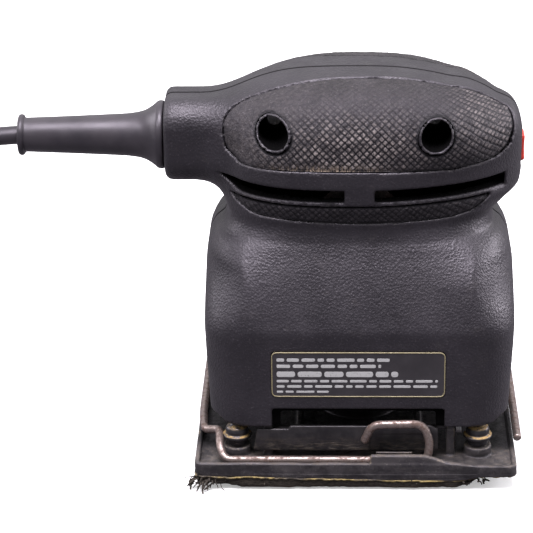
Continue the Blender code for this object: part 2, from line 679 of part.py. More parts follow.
def platen(surface):
    """The cast platen: plate, rim, bearing hub, ribs, foot bosses and the clamps' lugs."""
    low = PAD_TOP + GAP
    corner = PLATEN_CORNER
    plate = prism(rounded_rectangle(PLATEN_X, PLATEN_Y, corner), low, RIM_TOP)
    pocket = prism(
        rounded_rectangle(PLATEN_X - RIM_WIDTH, PLATEN_Y - RIM_WIDTH, corner - 1.2), PLATE_TOP, RIM_TOP + 5
    )
    made = moved(difference(plate, pocket), (PLATEN_MID_X, -ORBIT, 0))
    centre = (0, -ORBIT, 0)
    solids = [rod(HUB_RADIUS, low + 1, BEARING_TOP, centre, facets=ROUND)]
    for turn in (False, True):
        solids += [moved(shape, half_turn=turn) for shape in clamp_lugs()]
    solids += [rod(FOOT_BOSS, low + 1, 9.6, (x, y, 0)) for x, y in FEET]
    for x in (-22, 22):
        solids.append(block((x - 1, -34 - ORBIT, low + 1), (x + 1, 34 - ORBIT, 9.5)))
    cuts = [
        rod(BEARING_RADIUS + GAP, BEARING_LOW, 30, centre, facets=ROUND),
        rod(HUB_FLOOR_HOLE, 0, 30, centre, facets=24),
    ]
    for x, y in FEET:
        cuts.append(rod(1.9, 0, 30, (x, y, 0), facets=FINE))
        cuts.append(rod(3.2, 0, 7.2, (x, y, 0), facets=FINE))
    for turn in (False, True):
        cuts += [moved(shape, half_turn=turn) for shape in clamp_bores()]
    made = difference(union(made, *solids), *cuts)
    add_object("platen", made, surface, (0, -ORBIT, 0), 35)


def clamp_lugs():
    """Near side: the raised rim and eyelet for the wire's axle, and the flap's two hinge posts."""
    edge = -PLATEN_Y - ORBIT
    return [
        block((3.8, edge + 0.1, PLATE_TOP - 0.6), (26.6, edge + RIM_WIDTH + 0.2, 11.0)),
        block((6.0, edge + 0.6, PLATE_TOP - 1), (19.0, AXLE_Y + 3.0, AXLE_Z + WIRE_RADIUS + GAP + 1.1)),
        block((-34.4, FLAP_HINGE_Y - 2.4, PLATE_TOP - 1), (-31.4, FLAP_HINGE_Y + 2.4, FLAP_HINGE_Z + 2.3)),
        block((31.4, FLAP_HINGE_Y - 2.4, PLATE_TOP - 1), (34.4, FLAP_HINGE_Y + 2.4, FLAP_HINGE_Z + 2.3)),
    ]


def clamp_bores():
    """Near side: the eyelet's bore and the hinge posts' bores."""
    return [
        rod(WIRE_RADIUS + GAP, 3, 22, (0, AXLE_Y, AXLE_Z), "X", 12),
        rod(1.3, -36, -30, (0, FLAP_HINGE_Y, FLAP_HINGE_Z), "X", 12),
        rod(1.3, 30, 36, (0, FLAP_HINGE_Y, FLAP_HINGE_Z), "X", 12),
    ]


def pad(surface):
    """The foam pad under the platen."""
    outline = rounded_rectangle(PLATEN_X - 0.2, PLATEN_Y - 0.2, PLATEN_CORNER + 1)
    made = moved(prism(outline, 0, PAD_TOP), (PLATEN_MID_X, -ORBIT, 0))
    add_object("pad", made, surface, (0, -ORBIT, 0))


def rubber_foot(name, x, y, surface):
    """A rubber post between the platen and a socket in the housing."""
    profile = [
        (1.7, 9.9), (4.2, 9.9), (4.2, 13.0), (4.9, 13.3), (4.9, 14.9), (2.8, 16.2), (2.8, 27.8),
        (0, 27.8), (0, 19.0), (1.7, 19.0),
    ]
    add_object(name, turned(profile, (x, y, 0), "Z", FINE), surface, (x, y, 9.9), 40)


def foot_screw(name, x, y, surface):
    """The screw that fastens a foot from under the platen."""
    profile = [(0, 5.2), (2.8, 5.2), (2.8, 6.9), (1.4, 6.9), (1.4, 18.0), (0, 18.6)]
    add_object(name, turned(profile, (x, y, 0), "Z", 12), surface, (x, y, 6.9), 35)


# ---------------------------------------------------------------- sheet clamps

def lever_path(extra):
    """The wire from its tip, over the crank, along the axle and back along the side, extra longer."""
    return [
        (1.3, -47.9, 14.2), (6.4, -48.6, 20.9), (23.0, -48.8, 21.4), (25.2, AXLE_Y, AXLE_Z),
        (-49.4 - extra, AXLE_Y, AXLE_Z), (-50.6 - extra, -47.0, 11.0), (-50.7 - extra, -36.6, 13.3),
        (-56.6 - extra, -35.2, 12.4), (ARM_X - extra, -20.0, 11.5), (ARM_X - extra, 38.0, 11.5),
    ]


def clamp_lever(name, half_turn, surface):
    """A bent wire lever, with its origin on its axle and its arm as far from the housing on both sides."""
    extra = -2 * PLATEN_MID_X if half_turn else 0
    wire = tube(rounded_path(lever_path(extra), 3.2, 3), WIRE_RADIUS, 8)
    pivot = Vector((0, AXLE_Y, AXLE_Z))
    if half_turn:
        pivot = Vector((0, -2 * ORBIT - AXLE_Y, AXLE_Z))
    add_object(name, moved(wire, half_turn=half_turn), surface, pivot, 50)


def clamp_plate(name, half_turn, surface):
    """The folded flap that traps the sheet, hung on two pins along its upper rear edge."""
    face, skin = -46.4, 1.3
    outline = [
        (-38.2, 9.0), (26.4, 9.0), (28.6, 11.0), (28.6, 17.4), (25.4, 18.9), (-24.7, 18.9),
        (-25.4, 17.7), (-36.6, 17.7),
    ]
    front = prism([(z, x) for x, z in outline], face, face + skin, "Y")
    shelf = block((-30.6, face + 0.6, 16.0), (27.8, FLAP_HINGE_Y + 0.6, 17.4))
    pins = [
        rod(1.0, -34.0, -29.0, (0, FLAP_HINGE_Y, FLAP_HINGE_Z), "X", 12),
        rod(1.0, 26.0, SPRING_END + 0.4, (0, FLAP_HINGE_Y, FLAP_HINGE_Z), "X", 12),
    ]
    pivot = (0, -2 * ORBIT - FLAP_HINGE_Y if half_turn else FLAP_HINGE_Y, FLAP_HINGE_Z)
    add_object(name, moved(union(front, shelf, *pins), half_turn=half_turn), surface, pivot)


def hinge_spring(name, half_turn, surface):
    """The coil spring on the flap's longer pin, with one leg down to the platen."""
    turns, steps = 3, 12
    coil = [
        (SPRING_START, FLAP_HINGE_Y + SPRING_RADIUS, PLATE_TOP + GAP + SPRING_WIRE),
        (SPRING_START, FLAP_HINGE_Y + SPRING_RADIUS, FLAP_HINGE_Z - 1.5),
    ]
    for step in range(turns * steps + 1):
        share = step / (turns * steps)
        angle = math.tau * turns * share
        coil.append((
            SPRING_START + (SPRING_END - SPRING_START) * share,
            FLAP_HINGE_Y + SPRING_RADIUS * math.cos(angle),
            FLAP_HINGE_Z + SPRING_RADIUS * math.sin(angle),
        ))
    made = moved(tube(coil, SPRING_WIRE, 6), half_turn=half_turn)
    bmesh.ops.triangulate(made, faces=made.faces[:])
    pivot = (0, -2 * ORBIT - FLAP_HINGE_Y if half_turn else FLAP_HINGE_Y, FLAP_HINGE_Z)
    add_object(name, made, surface, pivot, 50)


# ---------------------------------------------------------------- assembly

def main():
    for existing in list(bpy.data.objects):
        bpy.data.objects.remove(existing)
    surfaces = {
        "plastic": finish("black_plastic", (0.028, 0.026, 0.030), 0.5),
        "dark": finish("dark_plastic", (0.02, 0.02, 0.02), 0.45),
        "rubber": finish("black_rubber", (0.025, 0.024, 0.027), 0.55),
        "red": finish("red_plastic", (0.45, 0.02, 0.02), 0.35),
        "cast": finish("cast_platen", (0.05, 0.047, 0.045), 0.6),
        "foam": finish("foam_pad", (0.04, 0.038, 0.036), 0.95),
        "wire": finish("worn_steel_wire", (0.34, 0.28, 0.25), 0.4, 0.9),
        "flap": finish("black_steel", (0.03, 0.03, 0.03), 0.5, 0.6),
        "steel": finish("steel", (0.6, 0.6, 0.6), 0.3, 1.0),
        "iron": finish("lamination_steel", (0.25, 0.25, 0.27), 0.45, 0.9),
        "copper": finish("enamelled_copper", (0.55, 0.2, 0.08), 0.35, 0.9),
        "brass": finish("brass", (0.7, 0.5, 0.2), 0.35, 1.0),
        "carbon": finish("carbon", (0.03, 0.03, 0.03), 0.7),
        "plate": finish("label_plate", (0.015, 0.015, 0.015), 0.35),
        "white": finish("white_insulation", (0.7, 0.7, 0.68), 0.45),
    }
    housing_half("housing_near", -1, surfaces["plastic"])
    housing_half("housing_far", 1, surfaces["plastic"])
    for number, (x, z) in enumerate(SCREWS, 1):
        housing_screw(f"housing_screw_{number}", x, z, surfaces["steel"])
    nameplate(surfaces["plate"])
    strain_relief(surfaces["rubber"])
    cord(surfaces["rubber"])
    cord_clamp(surfaces["dark"], surfaces["steel"])
    lead_wire("lead_wire_live", -1, surfaces["rubber"])
    lead_wire("lead_wire_neutral", 1, surfaces["white"])
    switch_body(surfaces["dark"])
    switch_rocker(surfaces["red"])

    bearing("lower_bearing", (0, 0, LOWER_BEARING_LOW), BEARING_RADIUS, SHAFT_RADIUS + GAP, BEARING_HEIGHT,
            surfaces["steel"])
    bearing("upper_bearing", (0, 0, UPPER_BEARING_LOW), UPPER_BEARING_RADIUS, UPPER_SHAFT_RADIUS + GAP,
            UPPER_BEARING_HEIGHT, surfaces["steel"])
    armature_shaft(surfaces["steel"])
    armature_core(surfaces["iron"])
    armature_winding(surfaces["copper"])
    commutator(surfaces["copper"])
    cooling_fan(surfaces["dark"])
    field_stack(surfaces["iron"])
    field_coil("field_coil_near", -1, surfaces["copper"])
    field_coil("field_coil_far", 1, surfaces["copper"])
    for side in (-1, 1):
        brush_set(side, surfaces)
    counterweight(surfaces["iron"])

    platen(surfaces["cast"])
    bearing("platen_bearing", (0, -ORBIT, BEARING_LOW + GAP), BEARING_RADIUS, SHAFT_RADIUS,
            BEARING_HEIGHT - GAP, surfaces["steel"])
    platen_screw(surfaces["steel"], surfaces["steel"])
    pad(surfaces["foam"])
    for number, (x, y) in enumerate(FEET, 1):
        rubber_foot(f"rubber_foot_{number}", x, y, surfaces["rubber"])
        foot_screw(f"foot_screw_{number}", x, y, surfaces["steel"])
    for word, half_turn in (("near", False), ("far", True)):
        clamp_lever(f"clamp_lever_{word}", half_turn, surfaces["wire"])
        clamp_plate(f"clamp_plate_{word}", half_turn, surfaces["flap"])
        hinge_spring(f"hinge_spring_{word}", half_turn, surfaces["steel"])


main()
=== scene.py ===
import functools
import itertools
import json
import math

import bpy
import numpy as np
from mathutils import Matrix, Vector


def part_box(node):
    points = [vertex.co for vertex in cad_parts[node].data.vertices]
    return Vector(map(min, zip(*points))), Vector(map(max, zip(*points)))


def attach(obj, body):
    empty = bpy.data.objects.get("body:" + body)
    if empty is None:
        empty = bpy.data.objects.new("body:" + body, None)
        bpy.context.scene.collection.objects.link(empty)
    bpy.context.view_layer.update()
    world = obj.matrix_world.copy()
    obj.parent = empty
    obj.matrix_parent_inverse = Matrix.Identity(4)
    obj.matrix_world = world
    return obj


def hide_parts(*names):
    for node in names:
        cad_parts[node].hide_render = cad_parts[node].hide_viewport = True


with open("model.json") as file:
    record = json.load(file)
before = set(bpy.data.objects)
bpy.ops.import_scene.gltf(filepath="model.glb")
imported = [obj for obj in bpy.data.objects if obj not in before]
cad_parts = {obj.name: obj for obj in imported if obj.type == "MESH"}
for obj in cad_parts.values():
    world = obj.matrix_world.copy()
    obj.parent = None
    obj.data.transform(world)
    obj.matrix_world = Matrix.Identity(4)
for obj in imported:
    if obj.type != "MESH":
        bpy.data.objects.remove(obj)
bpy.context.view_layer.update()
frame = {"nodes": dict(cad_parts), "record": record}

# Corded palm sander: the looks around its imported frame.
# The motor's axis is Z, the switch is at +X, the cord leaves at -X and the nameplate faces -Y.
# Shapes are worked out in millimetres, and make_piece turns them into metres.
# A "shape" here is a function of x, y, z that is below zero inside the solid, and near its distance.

MM = 1000.0


def box_mm(node):
    """Lowest and highest corner of a CAD node, in millimetres."""
    low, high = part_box(node)
    return np.array(low) * MM, np.array(high) * MM


# ---------------------------------------------------------------- sizes, from the frame

HOUSING_LOW, HOUSING_HIGH = box_mm("housing_near")
PLATEN_LOW, PLATEN_HIGH = box_mm("platen")
PAD_LOW, PAD_HIGH = box_mm("pad")
LABEL_LOW, LABEL_HIGH = box_mm("nameplate")
ROCKER_LOW, ROCKER_HIGH = box_mm("switch_rocker")
SLEEVE_LOW, SLEEVE_HIGH = box_mm("strain_relief")
CORD_LOW, CORD_HIGH = box_mm("cord")
LEVER_LOW, LEVER_HIGH = box_mm("clamp_lever_near")
FLAP_LOW, FLAP_HIGH = box_mm("clamp_plate_near")
CENTRE_Y = (PAD_LOW[1] + PAD_HIGH[1]) / 2        # the platen's own axis at rest
MIDDLE_X = (PLATEN_LOW[0] + PLATEN_HIGH[0]) / 2  # the clamps are half a turn apart about this line
CORD_Z = (SLEEVE_LOW[2] + SLEEVE_HIGH[2]) / 2
CORD_RADIUS = (CORD_HIGH[1] - CORD_LOW[1]) / 2
ROCKER_X, ROCKER_Z = 54.6, 109.0                 # the rocker's pivot
FEET = [sum(box_mm(f"rubber_foot_{number}")) / 2 for number in (1, 2, 3, 4)]

SKIRT_Z = HOUSING_LOW[2]
FACE_Y = -HOUSING_LOW[1]
BOSS_X = HOUSING_LOW[0]
CREST_Z = HOUSING_HIGH[2] + 0.1
CREST_X = -2.0
LIP_Z = 106.5                  # the grip's widest level
WALL = 2.5
SEAM = 0.15                    # each half stops this far from the parting plane
PLAN_RADIUS = 16.5             # corners of the motor case, seen from above
SCREWS = ((-30.2, 124.0), (26.7, 124.0))
WELL_RADIUS = 5.3

# Half widths to the left and right, and half depth, at heights of the housing.
LEFT = (
    (19.5, 54.2), (26, 54.5), (55.5, 55.7), (70, 55.6), (76, 55.0), (82, 52.4), (85.5, 48.8), (89, 47.8),
    (93.2, 49.0), (98, 49.8), (LIP_Z, 50.0),
)
RIGHT = (
    (19.5, 54.2), (26, 54.5), (55.5, 55.7), (70, 55.6), (76, 54.6), (82, 51.7), (85.5, 48.4), (89, 48.6),
    (93.2, 53.2), (98, 58.2), (LIP_Z, 59.0),
)
DISH = (
    (45, 51.4), (55.5, 47.0), (63, 44.0), (70, 40.8), (76, 37.8), (82, 34.6), (85.5, 33.0), (89, 32.4),
    (93.2, 33.4), (98, 34.9), (LIP_Z, 36.0),
)

# The oval's lower and upper edges, as angles in degrees round the grip at places along X.
OVAL_LOW = (
    (-48.7, 40), (-47.6, 27), (-45.7, 20.3), (-40.9, 11.5), (-34, 9.6), (31, 9.0), (39.6, 11.1), (47.4, 16.4),
    (52.6, 28.2), (54.9, 46),
)
OVAL_HIGH = (
    (-48.7, 40), (-47.9, 50.8), (-44.1, 59.2), (-38, 62.9), (-26.8, 64.5), (-4.7, 69.6), (20, 70.5),
    (47.7, 70.4), (52.5, 68.1), (54.3, 59), (54.9, 46),
)
ARC = 0.6                      # millimetres of grip surface in one degree
# The crescent's lower edge, as heights at places along X. Its upper edge is level.
CRESCENT_LOW = (
    (-46.6, 99.3), (-45.8, 98.4), (-41.2, 95.4), (-36.2, 93.7), (0, 92.0), (31, 92.6), (39.5, 93.8),
    (45.7, 97.6), (46.8, 99.2),
)
CRESCENT_TOP = 99.3

CELL = 0.8
SCALE_SIDE = 1.8               # one raised diamond of the grip's texture
PATCH_STEP = SCALE_SIDE * math.sqrt(2) / 8


# ---------------------------------------------------------------- numbers on points

def smooth_step(value, low, high):
    share = np.clip((value - low) / (high - low), 0, 1)
    return share * share * (3 - 2 * share)


def soft_min(first, second, radius):
    """The smaller of two shapes, with the inner corner between them rounded."""
    blend = np.clip(0.5 + 0.5 * (second - first) / radius, 0, 1)
    return second + (first - second) * blend - radius * blend * (1 - blend)


def soft_max(first, second, radius):
    """What two shapes share, with the edge between them rounded."""
    return -soft_min(-first, -second, radius)


def curve(value, knots):
    """A smooth line through (place, size) knots that doesn't overshoot them."""
    places, sizes = np.array(knots, float).T
    steps = np.diff(sizes) / np.diff(places)
    slopes = np.concatenate([steps[:1], np.zeros(len(steps) - 1), steps[-1:]])
    before, after = steps[:-1], steps[1:]
    same = before * after > 0
    slopes[1:-1][same] = (2 * before * after / (before + after + ~same))[same]
    index = np.clip(np.searchsorted(places, value) - 1, 0, len(places) - 2)
    width = places[index + 1] - places[index]
    share = np.clip((value - places[index]) / width, 0, 1)
    low, high = sizes[index], sizes[index + 1]
    up, down = slopes[index] * width, slopes[index + 1] * width
    cubic = share * (2 * (low - high) + up + down)
    return low + share * (up + share * (3 * (high - low) - 2 * up - down + cubic))


def noise(points, size, seed):
    """Smooth random values from -1 to 1 at points, with lumps of the given size."""
    table = np.random.default_rng(seed).uniform(-1, 1, (32, 32, 32))
    place = points / size
    cell = np.floor(place).astype(int)
    share = smooth_step(place - cell, 0, 1)
    total = 0.0
    for corner in itertools.product((0, 1), repeat=3):
        weight = np.where(corner, share, 1 - share).prod(axis=1)
        total = total + weight * table[tuple(((cell + corner) % 32).T)]
    return total


def rounded(first, second, radius):
    """Distance to a corner with a round edge, from the distances to its two sides."""
    outside = np.hypot(np.maximum(first + radius, 0), np.maximum(second + radius, 0))
    return outside + np.minimum(np.maximum(first, second) + radius, 0) - radius


def block(x, y, z, low, high):
    """A box between two corners."""
    sides = [np.maximum(low[i] - value, value - high[i]) for i, value in enumerate((x, y, z))]
    return np.maximum(np.maximum(sides[0], sides[1]), sides[2])


def rod(first, second, height, radius, low, high):
    """A cylinder between two heights, from the two distances across its axis."""
    return np.maximum(np.hypot(first, second) - radius, np.maximum(low - height, height - high))


def nearest(*shapes):
    """Several shapes joined."""
    return functools.reduce(np.minimum, shapes)


def at_feet(x, y, z, radius, low, high):
    """A rod on the axis of every rubber foot."""
    return nearest(*[rod(x - foot[0], y - foot[1], z, radius, low, high) for foot in FEET])


# ---------------------------------------------------------------- meshes

def surface_net(values, axes):
    """Points and quads over the zero level of a grid of values, one point in each crossed cell."""
    quads, crossings = [], []
    for axis in range(3):
        first_axis, second_axis = (axis + 1) % 3, (axis + 2) % 3
        near, far = [slice(None)] * 3, [slice(None)] * 3
        near[axis], far[axis] = slice(0, -1), slice(1, None)
        low, high = values[tuple(near)], values[tuple(far)]
        index = np.argwhere((low < 0) != (high < 0))
        start, end = low[tuple(index.T)], high[tuple(index.T)]
        place = np.stack([axes[i][index[:, i]] for i in range(3)], axis=1)
        ahead = axes[axis][index[:, axis] + 1]
        place[:, axis] += start / (start - end) * (ahead - place[:, axis])
        corners = []
        for first, second in ((0, 0), (-1, 0), (-1, -1), (0, -1)):
            cell = index.copy()
            cell[:, first_axis] += first
            cell[:, second_axis] += second
            corners.append(np.ravel_multi_index(tuple(cell.T), values.shape))
        faces = np.stack(corners, axis=1)
        faces[start >= 0] = faces[start >= 0][:, ::-1]
        quads.append(faces)
        crossings.append(place)
    quads, crossings = np.concatenate(quads), np.concatenate(crossings)
    _, faces = np.unique(quads, return_inverse=True)
    faces = faces.reshape(-1, 4)
    count = np.bincount(faces.ravel())
    points = [np.bincount(faces.ravel(), np.repeat(crossings[:, i], 4)) / count for i in range(3)]
    return np.stack(points, axis=1), faces


def slope(shape, points, step=0.04):
    """Which way a shape grows fastest, at points."""
    parts = [shape(*(points + step * axis).T) - shape(*(points - step * axis).T) for axis in np.eye(3)]
    return np.stack(parts, axis=1) / (2 * step)


def settled(shape, points, rounds=3, reach=0.4):
    """Points moved down the slope of a shape until they lie on its surface."""
    for _ in range(rounds):
        value, gradient = shape(*points.T), slope(shape, points)
        size = np.maximum((gradient ** 2).sum(axis=1), 0.1)
        step = np.clip(value / size, -reach, reach)
        points = points - step[:, None] * gradient
    return points


def grid_line(low, high, step, fine_at=None):
    """Grid places from low to high, closer together beside fine_at."""
    if fine_at is None:
        return np.arange(low, high + step, step)
    side = 1 if high - fine_at > fine_at - low else -1
    places, stride, place = [fine_at - side * 0.7, fine_at - side * 0.25], 0.25, fine_at + side * 0.1
    while side * place < max(side * low, side * high):
        places.append(place)
        stride = min(stride * 1.25, step)
        place += side * stride
    places.append(place)
    return np.array(sorted(places))


def carved(shape, low, high, steps, fine_y=None):
    """Closed quads over a shape, sampled between two corners."""
    steps = np.broadcast_to(steps, 3)
    axes = [grid_line(low[i] - 2 * steps[i], high[i] + 2 * steps[i], steps[i]) for i in (0, 1, 2)]
    if fine_y is not None:
        axes[1] = grid_line(low[1] - steps[1], high[1] + steps[1], steps[1], fine_y)
    values = shape(*np.meshgrid(*axes, indexing="ij", sparse=True))
    values = np.broadcast_to(values, [len(axis) for axis in axes])
    points, faces = surface_net(values, axes)
    return settled(shape, points), faces


def edge_wear(points, faces, normals):
    """How far each point stands out from its neighbours: over zero on edges, under it in corners."""
    total, count = np.zeros_like(points), np.zeros(len(points))
    for shift in (1, -1):
        other = np.roll(faces, shift, axis=1).ravel()
        for i in range(3):
            total[:, i] += np.bincount(faces.ravel(), points[other, i], len(points))
        count += np.bincount(faces.ravel(), minlength=len(points))
    offset = total / count[:, None] - points
    spread = (offset ** 2).sum(axis=1) + 0.05
    return -(offset * normals).sum(axis=1) / spread ** 0.5


def add_mesh(name, points, faces, body, material, replaces=(), slot=None, angle=30):
    """An object from points in millimetres and faces of any size, riding on a body."""
    mesh = bpy.data.meshes.new(name)
    mesh.from_pydata((np.asarray(points) / MM).tolist(), [], faces)
    mesh.materials.append(material)
    mesh.shade_smooth()
    if angle is not None:
        mesh.set_sharp_from_angle(angle=math.radians(angle))
    made = bpy.data.objects.new(name, mesh)
    bpy.context.scene.collection.objects.link(made)
    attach(made, body)
    if replaces:
        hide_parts(*replaces)
    return made


def set_values(made, name, values):
    """One number at each point of an object, for its material to read."""
    data = made.data.attributes.new(name, "FLOAT", "POINT").data
    data.foreach_set("value", values.astype(np.float32))


def make_piece(name, points, faces, body, material, replaces=(), slot=None, angle=None):
    """An object made of quads, which carries the wear of its edges at each point."""
    made = add_mesh(name, points, np.asarray(faces).tolist(), body, material, replaces, slot, angle)
    made.data.update()
    normals = np.zeros(len(made.data.vertices) * 3)
    made.data.vertex_normals.foreach_get("vector", normals)
    wear = edge_wear(np.asarray(points, float), np.asarray(faces), normals.reshape(-1, 3))
    set_values(made, "wear", wear)
    return made


def add_carved(name, shape, low, high, steps, body, material, node, slot, turn=False):
    """A piece carved between two corners, and turned to the far side if asked."""
    points, faces = carved(shape, low, high, steps)
    make_piece(name, half_turned(points) if turn else points, faces, body, material, (node,), slot)


def joined(parts):
    """Several pairs of points and faces as one."""
    all_points, all_faces, shift = [], [], 0
    for points, faces in parts:
        all_points.append(points)
        all_faces += [[index + shift for index in face] for face in faces]
        shift += len(points)
    return np.concatenate(all_points), all_faces


def turned(profile, centre, axis, facets):
    """A closed profile of (radius, height) turned round the X or Z axis through centre, in quads."""
    angle = np.linspace(0, math.tau, facets, endpoint=False)
    radius, height = profile[:, :1], profile[:, 1:]
    across, up = radius * np.cos(angle), radius * np.sin(angle)
    level = np.broadcast_to(height, across.shape)
    parts = {"X": (level, across, up), "Z": (across, up, level)}[axis]
    points = np.stack(parts, axis=2).reshape(-1, 3) + np.asarray(centre)
    first = np.arange(len(profile))[:, None] * facets + np.arange(facets)
    beside = np.roll(first, -1, axis=1)
    above, corner = (first + facets) % len(points), (beside + facets) % len(points)
    return points, np.stack([first, above, corner, beside], axis=2).reshape(-1, 4)


def round_corners(corners, radius, steps=5, closed=False):
    """A path whose corners are replaced by arcs. A corner may carry its own radius as an extra number."""
    size = 3 if len(corners[0]) > 2 and not closed else 2
    places = [np.array(corner[:size], float) for corner in corners]
    sizes = [corner[size] if len(corner) > size else radius for corner in corners]
    order = range(len(places)) if closed else range(1, len(places) - 1)
    path = [] if closed else [places[0]]
    for i in order:
        corner, before, after = places[i], places[i - 1], places[(i + 1) % len(places)]
        into, out = before - corner, after - corner
        reach = min(sizes[i], np.linalg.norm(into) * 0.48, np.linalg.norm(out) * 0.48)
        start = corner + into / np.linalg.norm(into) * reach
        end = corner + out / np.linalg.norm(out) * reach
        for share in np.linspace(0, 1, steps + 1):
            path.append((1 - share) ** 2 * start + 2 * share * (1 - share) * corner + share ** 2 * end)
    if not closed:
        path.append(places[-1])
    return np.array(path)


def evenly(path, step):
    """The same path with points at an even distance."""
    lengths = np.concatenate([[0], np.cumsum(np.linalg.norm(np.diff(path, axis=0), axis=1))])
    places = np.linspace(0, lengths[-1], max(int(lengths[-1] / step), 2) + 1)
    return np.stack([np.interp(places, lengths, path[:, i]) for i in range(3)], axis=1)


DOME = (0.5, 0.9, 1.25, 1.5)   # angles of the rings on a bar's domed end


def swept(path, radius, facets=20, dome=True):
    """A bar along a path, with domed ends unless they are hidden."""
    ends = []
    if dome:
        for tip, inner in ((path[0], path[1]), (path[-1], path[-2])):
            out = (tip - inner) / np.linalg.norm(tip - inner)
            ends.append([tip + out * radius * 0.6 * math.sin(angle) for angle in DOME])
        path = np.array(ends[0][::-1] + list(path) + ends[1])
    sizes = np.full(len(path), float(radius))
    if dome:
        for i in range(len(DOME)):
            sizes[i] = sizes[-1 - i] = radius * math.cos(DOME[-1 - i])
    heading = np.gradient(path, axis=0)
    heading /= np.linalg.norm(heading, axis=1)[:, None]
    side = np.cross(heading[0], (0.3, 0.2, 0.9))
    angle = np.linspace(0, math.tau, facets, endpoint=False)[:, None]
    rings = []
    for place, along, size in zip(path, heading, sizes):
        side = side - along * side.dot(along)
        side /= np.linalg.norm(side)
        other = np.cross(along, side)
        rings.append(place + size * (side * np.cos(angle) + other * np.sin(angle)))
    points = np.concatenate(rings)
    first = np.arange(len(path) - 1)[:, None] * facets + np.arange(facets)
    beside = np.roll(first, -1, axis=1)
    faces = np.stack([first, beside, beside + facets, first + facets], axis=2).reshape(-1, 4).tolist()
    return points, faces + [list(range(facets))[::-1], list(range(len(points) - facets, len(points)))]


def half_turned(points):
    """Points turned half a turn about the platen's axis, for the far clamp."""
    return np.array((2 * MIDDLE_X, 2 * CENTRE_Y, 0)) + points * (-1, -1, 1)


# ---------------------------------------------------------------- materials

class Nodes:
    """A tree of nodes while it is being built."""

    def __init__(self, tree):
        self.tree = tree

    def put(self, socket, value):
        if isinstance(value, bpy.types.NodeSocket):
            self.tree.links.new(value, socket)
        elif isinstance(value, tuple) and len(value) == 3 and socket.type == "RGBA":
            socket.default_value = (*value, 1.0)
        else:
            socket.default_value = value

    def node(self, kind, inputs, **settings):
        made = self.tree.nodes.new("ShaderNode" + kind)
        for key, value in settings.items():
            setattr(made, key, value)
        for key, value in inputs.items():
            self.put(made.inputs[key], value)
        return made

    def ranged(self, value, low, high, to_low=0.0, to_high=1.0, kind="SMOOTHSTEP"):
        """Value turned from one range into another, smoothly and clamped."""
        inputs = {"Value": value, "From Min": low, "From Max": high, "To Min": to_low, "To Max": to_high}
        return self.node("MapRange", inputs, interpolation_type=kind).outputs[0]

    def maths(self, operation, first, second):
        return self.node("Math", {0: first, 1: second}, operation=operation).outputs[0]

    def times(self, first, second):
        return self.maths("MULTIPLY", first, second)

    def larger(self, first, second):
        return self.maths("MAXIMUM", first, second)

    def camera_ray(self):
        return self.node("LightPath", {}).outputs["Is Camera Ray"]

    def split(self, vector):
        return self.node("SeparateXYZ", {"Vector": vector}).outputs


class Paint(Nodes):
    """A procedural material while it is being mixed. Its sizes and distances are in millimetres."""

    def __init__(self, name):
        self.material = bpy.data.materials.new(name)
        self.material.use_nodes = True
        super().__init__(self.material.node_tree)
        self.shader = self.tree.nodes["Principled BSDF"]
        self.place = self.tree.nodes.new("ShaderNodeTexCoord").outputs["Object"]

    def stretched(self, sizes):
        """Object coordinates divided by a size along each axis."""
        scale = tuple(MM / size for size in sizes)
        return self.node("Mapping", {"Vector": self.place, "Scale": scale}).outputs[0]

    def clouds(self, size, detail=3.0, rough=0.6, twist=0.0):
        """Noise with lumps of the given size."""
        sizes = size if isinstance(size, tuple) else (size,) * 3
        inputs = {"Vector": self.stretched(sizes), "Scale": 1.0, "Detail": detail}
        inputs.update({"Roughness": rough, "Distortion": twist})
        return self.node("TexNoise", inputs).outputs["Fac"]

    def cells(self, size):
        """Distance from the middle of cells of the given size."""
        inputs = {"Vector": self.stretched((size,) * 3), "Scale": 1.0}
        return self.node("TexVoronoi", inputs).outputs["Distance"]

    def mixed(self, share, first, second):
        return self.node("MixRGB", {"Fac": share, "Color1": first, "Color2": second}).outputs[0]

    def cover(self, share, colour):
        """Lays a colour over what is there, where share is above zero."""
        self.colour = self.mixed(share, self.colour, colour)

    def mottled(self, size, dark, light, detail=3.0, low=0.3):
        """Lumps of two colours that run into each other."""
        return self.mixed(self.ranged(self.clouds(size, detail), low, 0.7), dark, light)

    def uneven(self, size, low, high, detail=4.0):
        """A value that drifts between two levels."""
        return self.ranged(self.clouds(size, detail), 0.3, 0.7, low, high)

    def spots(self, size, detail, rough, low, high, most=1.0):
        """Spots that stand out of the noise between two levels, up to a share."""
        return self.ranged(self.clouds(size, detail, rough), low, high, 0, most)

    def bump(self, height, distance, normal=None, strength=1.0):
        """A bump whose height runs over a distance."""
        inputs = {"Height": height, "Distance": distance / MM, "Strength": strength}
        if normal is not None:
            inputs["Normal"] = normal
        return self.node("Bump", inputs).outputs[0]

    def attribute(self, name):
        return self.node("Attribute", {}, attribute_name=name).outputs["Fac"]

    def facing_up(self):
        return self.split(self.node("NewGeometry", {}).outputs["Normal"])["Z"]

    def where(self):
        """Object coordinates, split into their parts."""
        scaled = self.node("VectorMath", {0: self.place, 1: (MM, MM, MM)}, operation="MULTIPLY")
        return self.split(scaled.outputs[0])

    def off_middle(self):
        """Distance from the parting plane."""
        return self.maths("ABSOLUTE", self.where()["Y"], 0.0)

    def done(self, rough, metal=0.0, normal=None, specular=0.5):
        values = {"Base Color": self.colour, "Roughness": rough, "Metallic": metal}
        values.update({"Specular IOR Level": specular, "Specular Tint": (1.0, 0.945, 1.03)})
        if normal is not None:
            values["Normal"] = normal
        for key, value in values.items():
            self.put(self.shader.inputs[key], value)
        return self.material


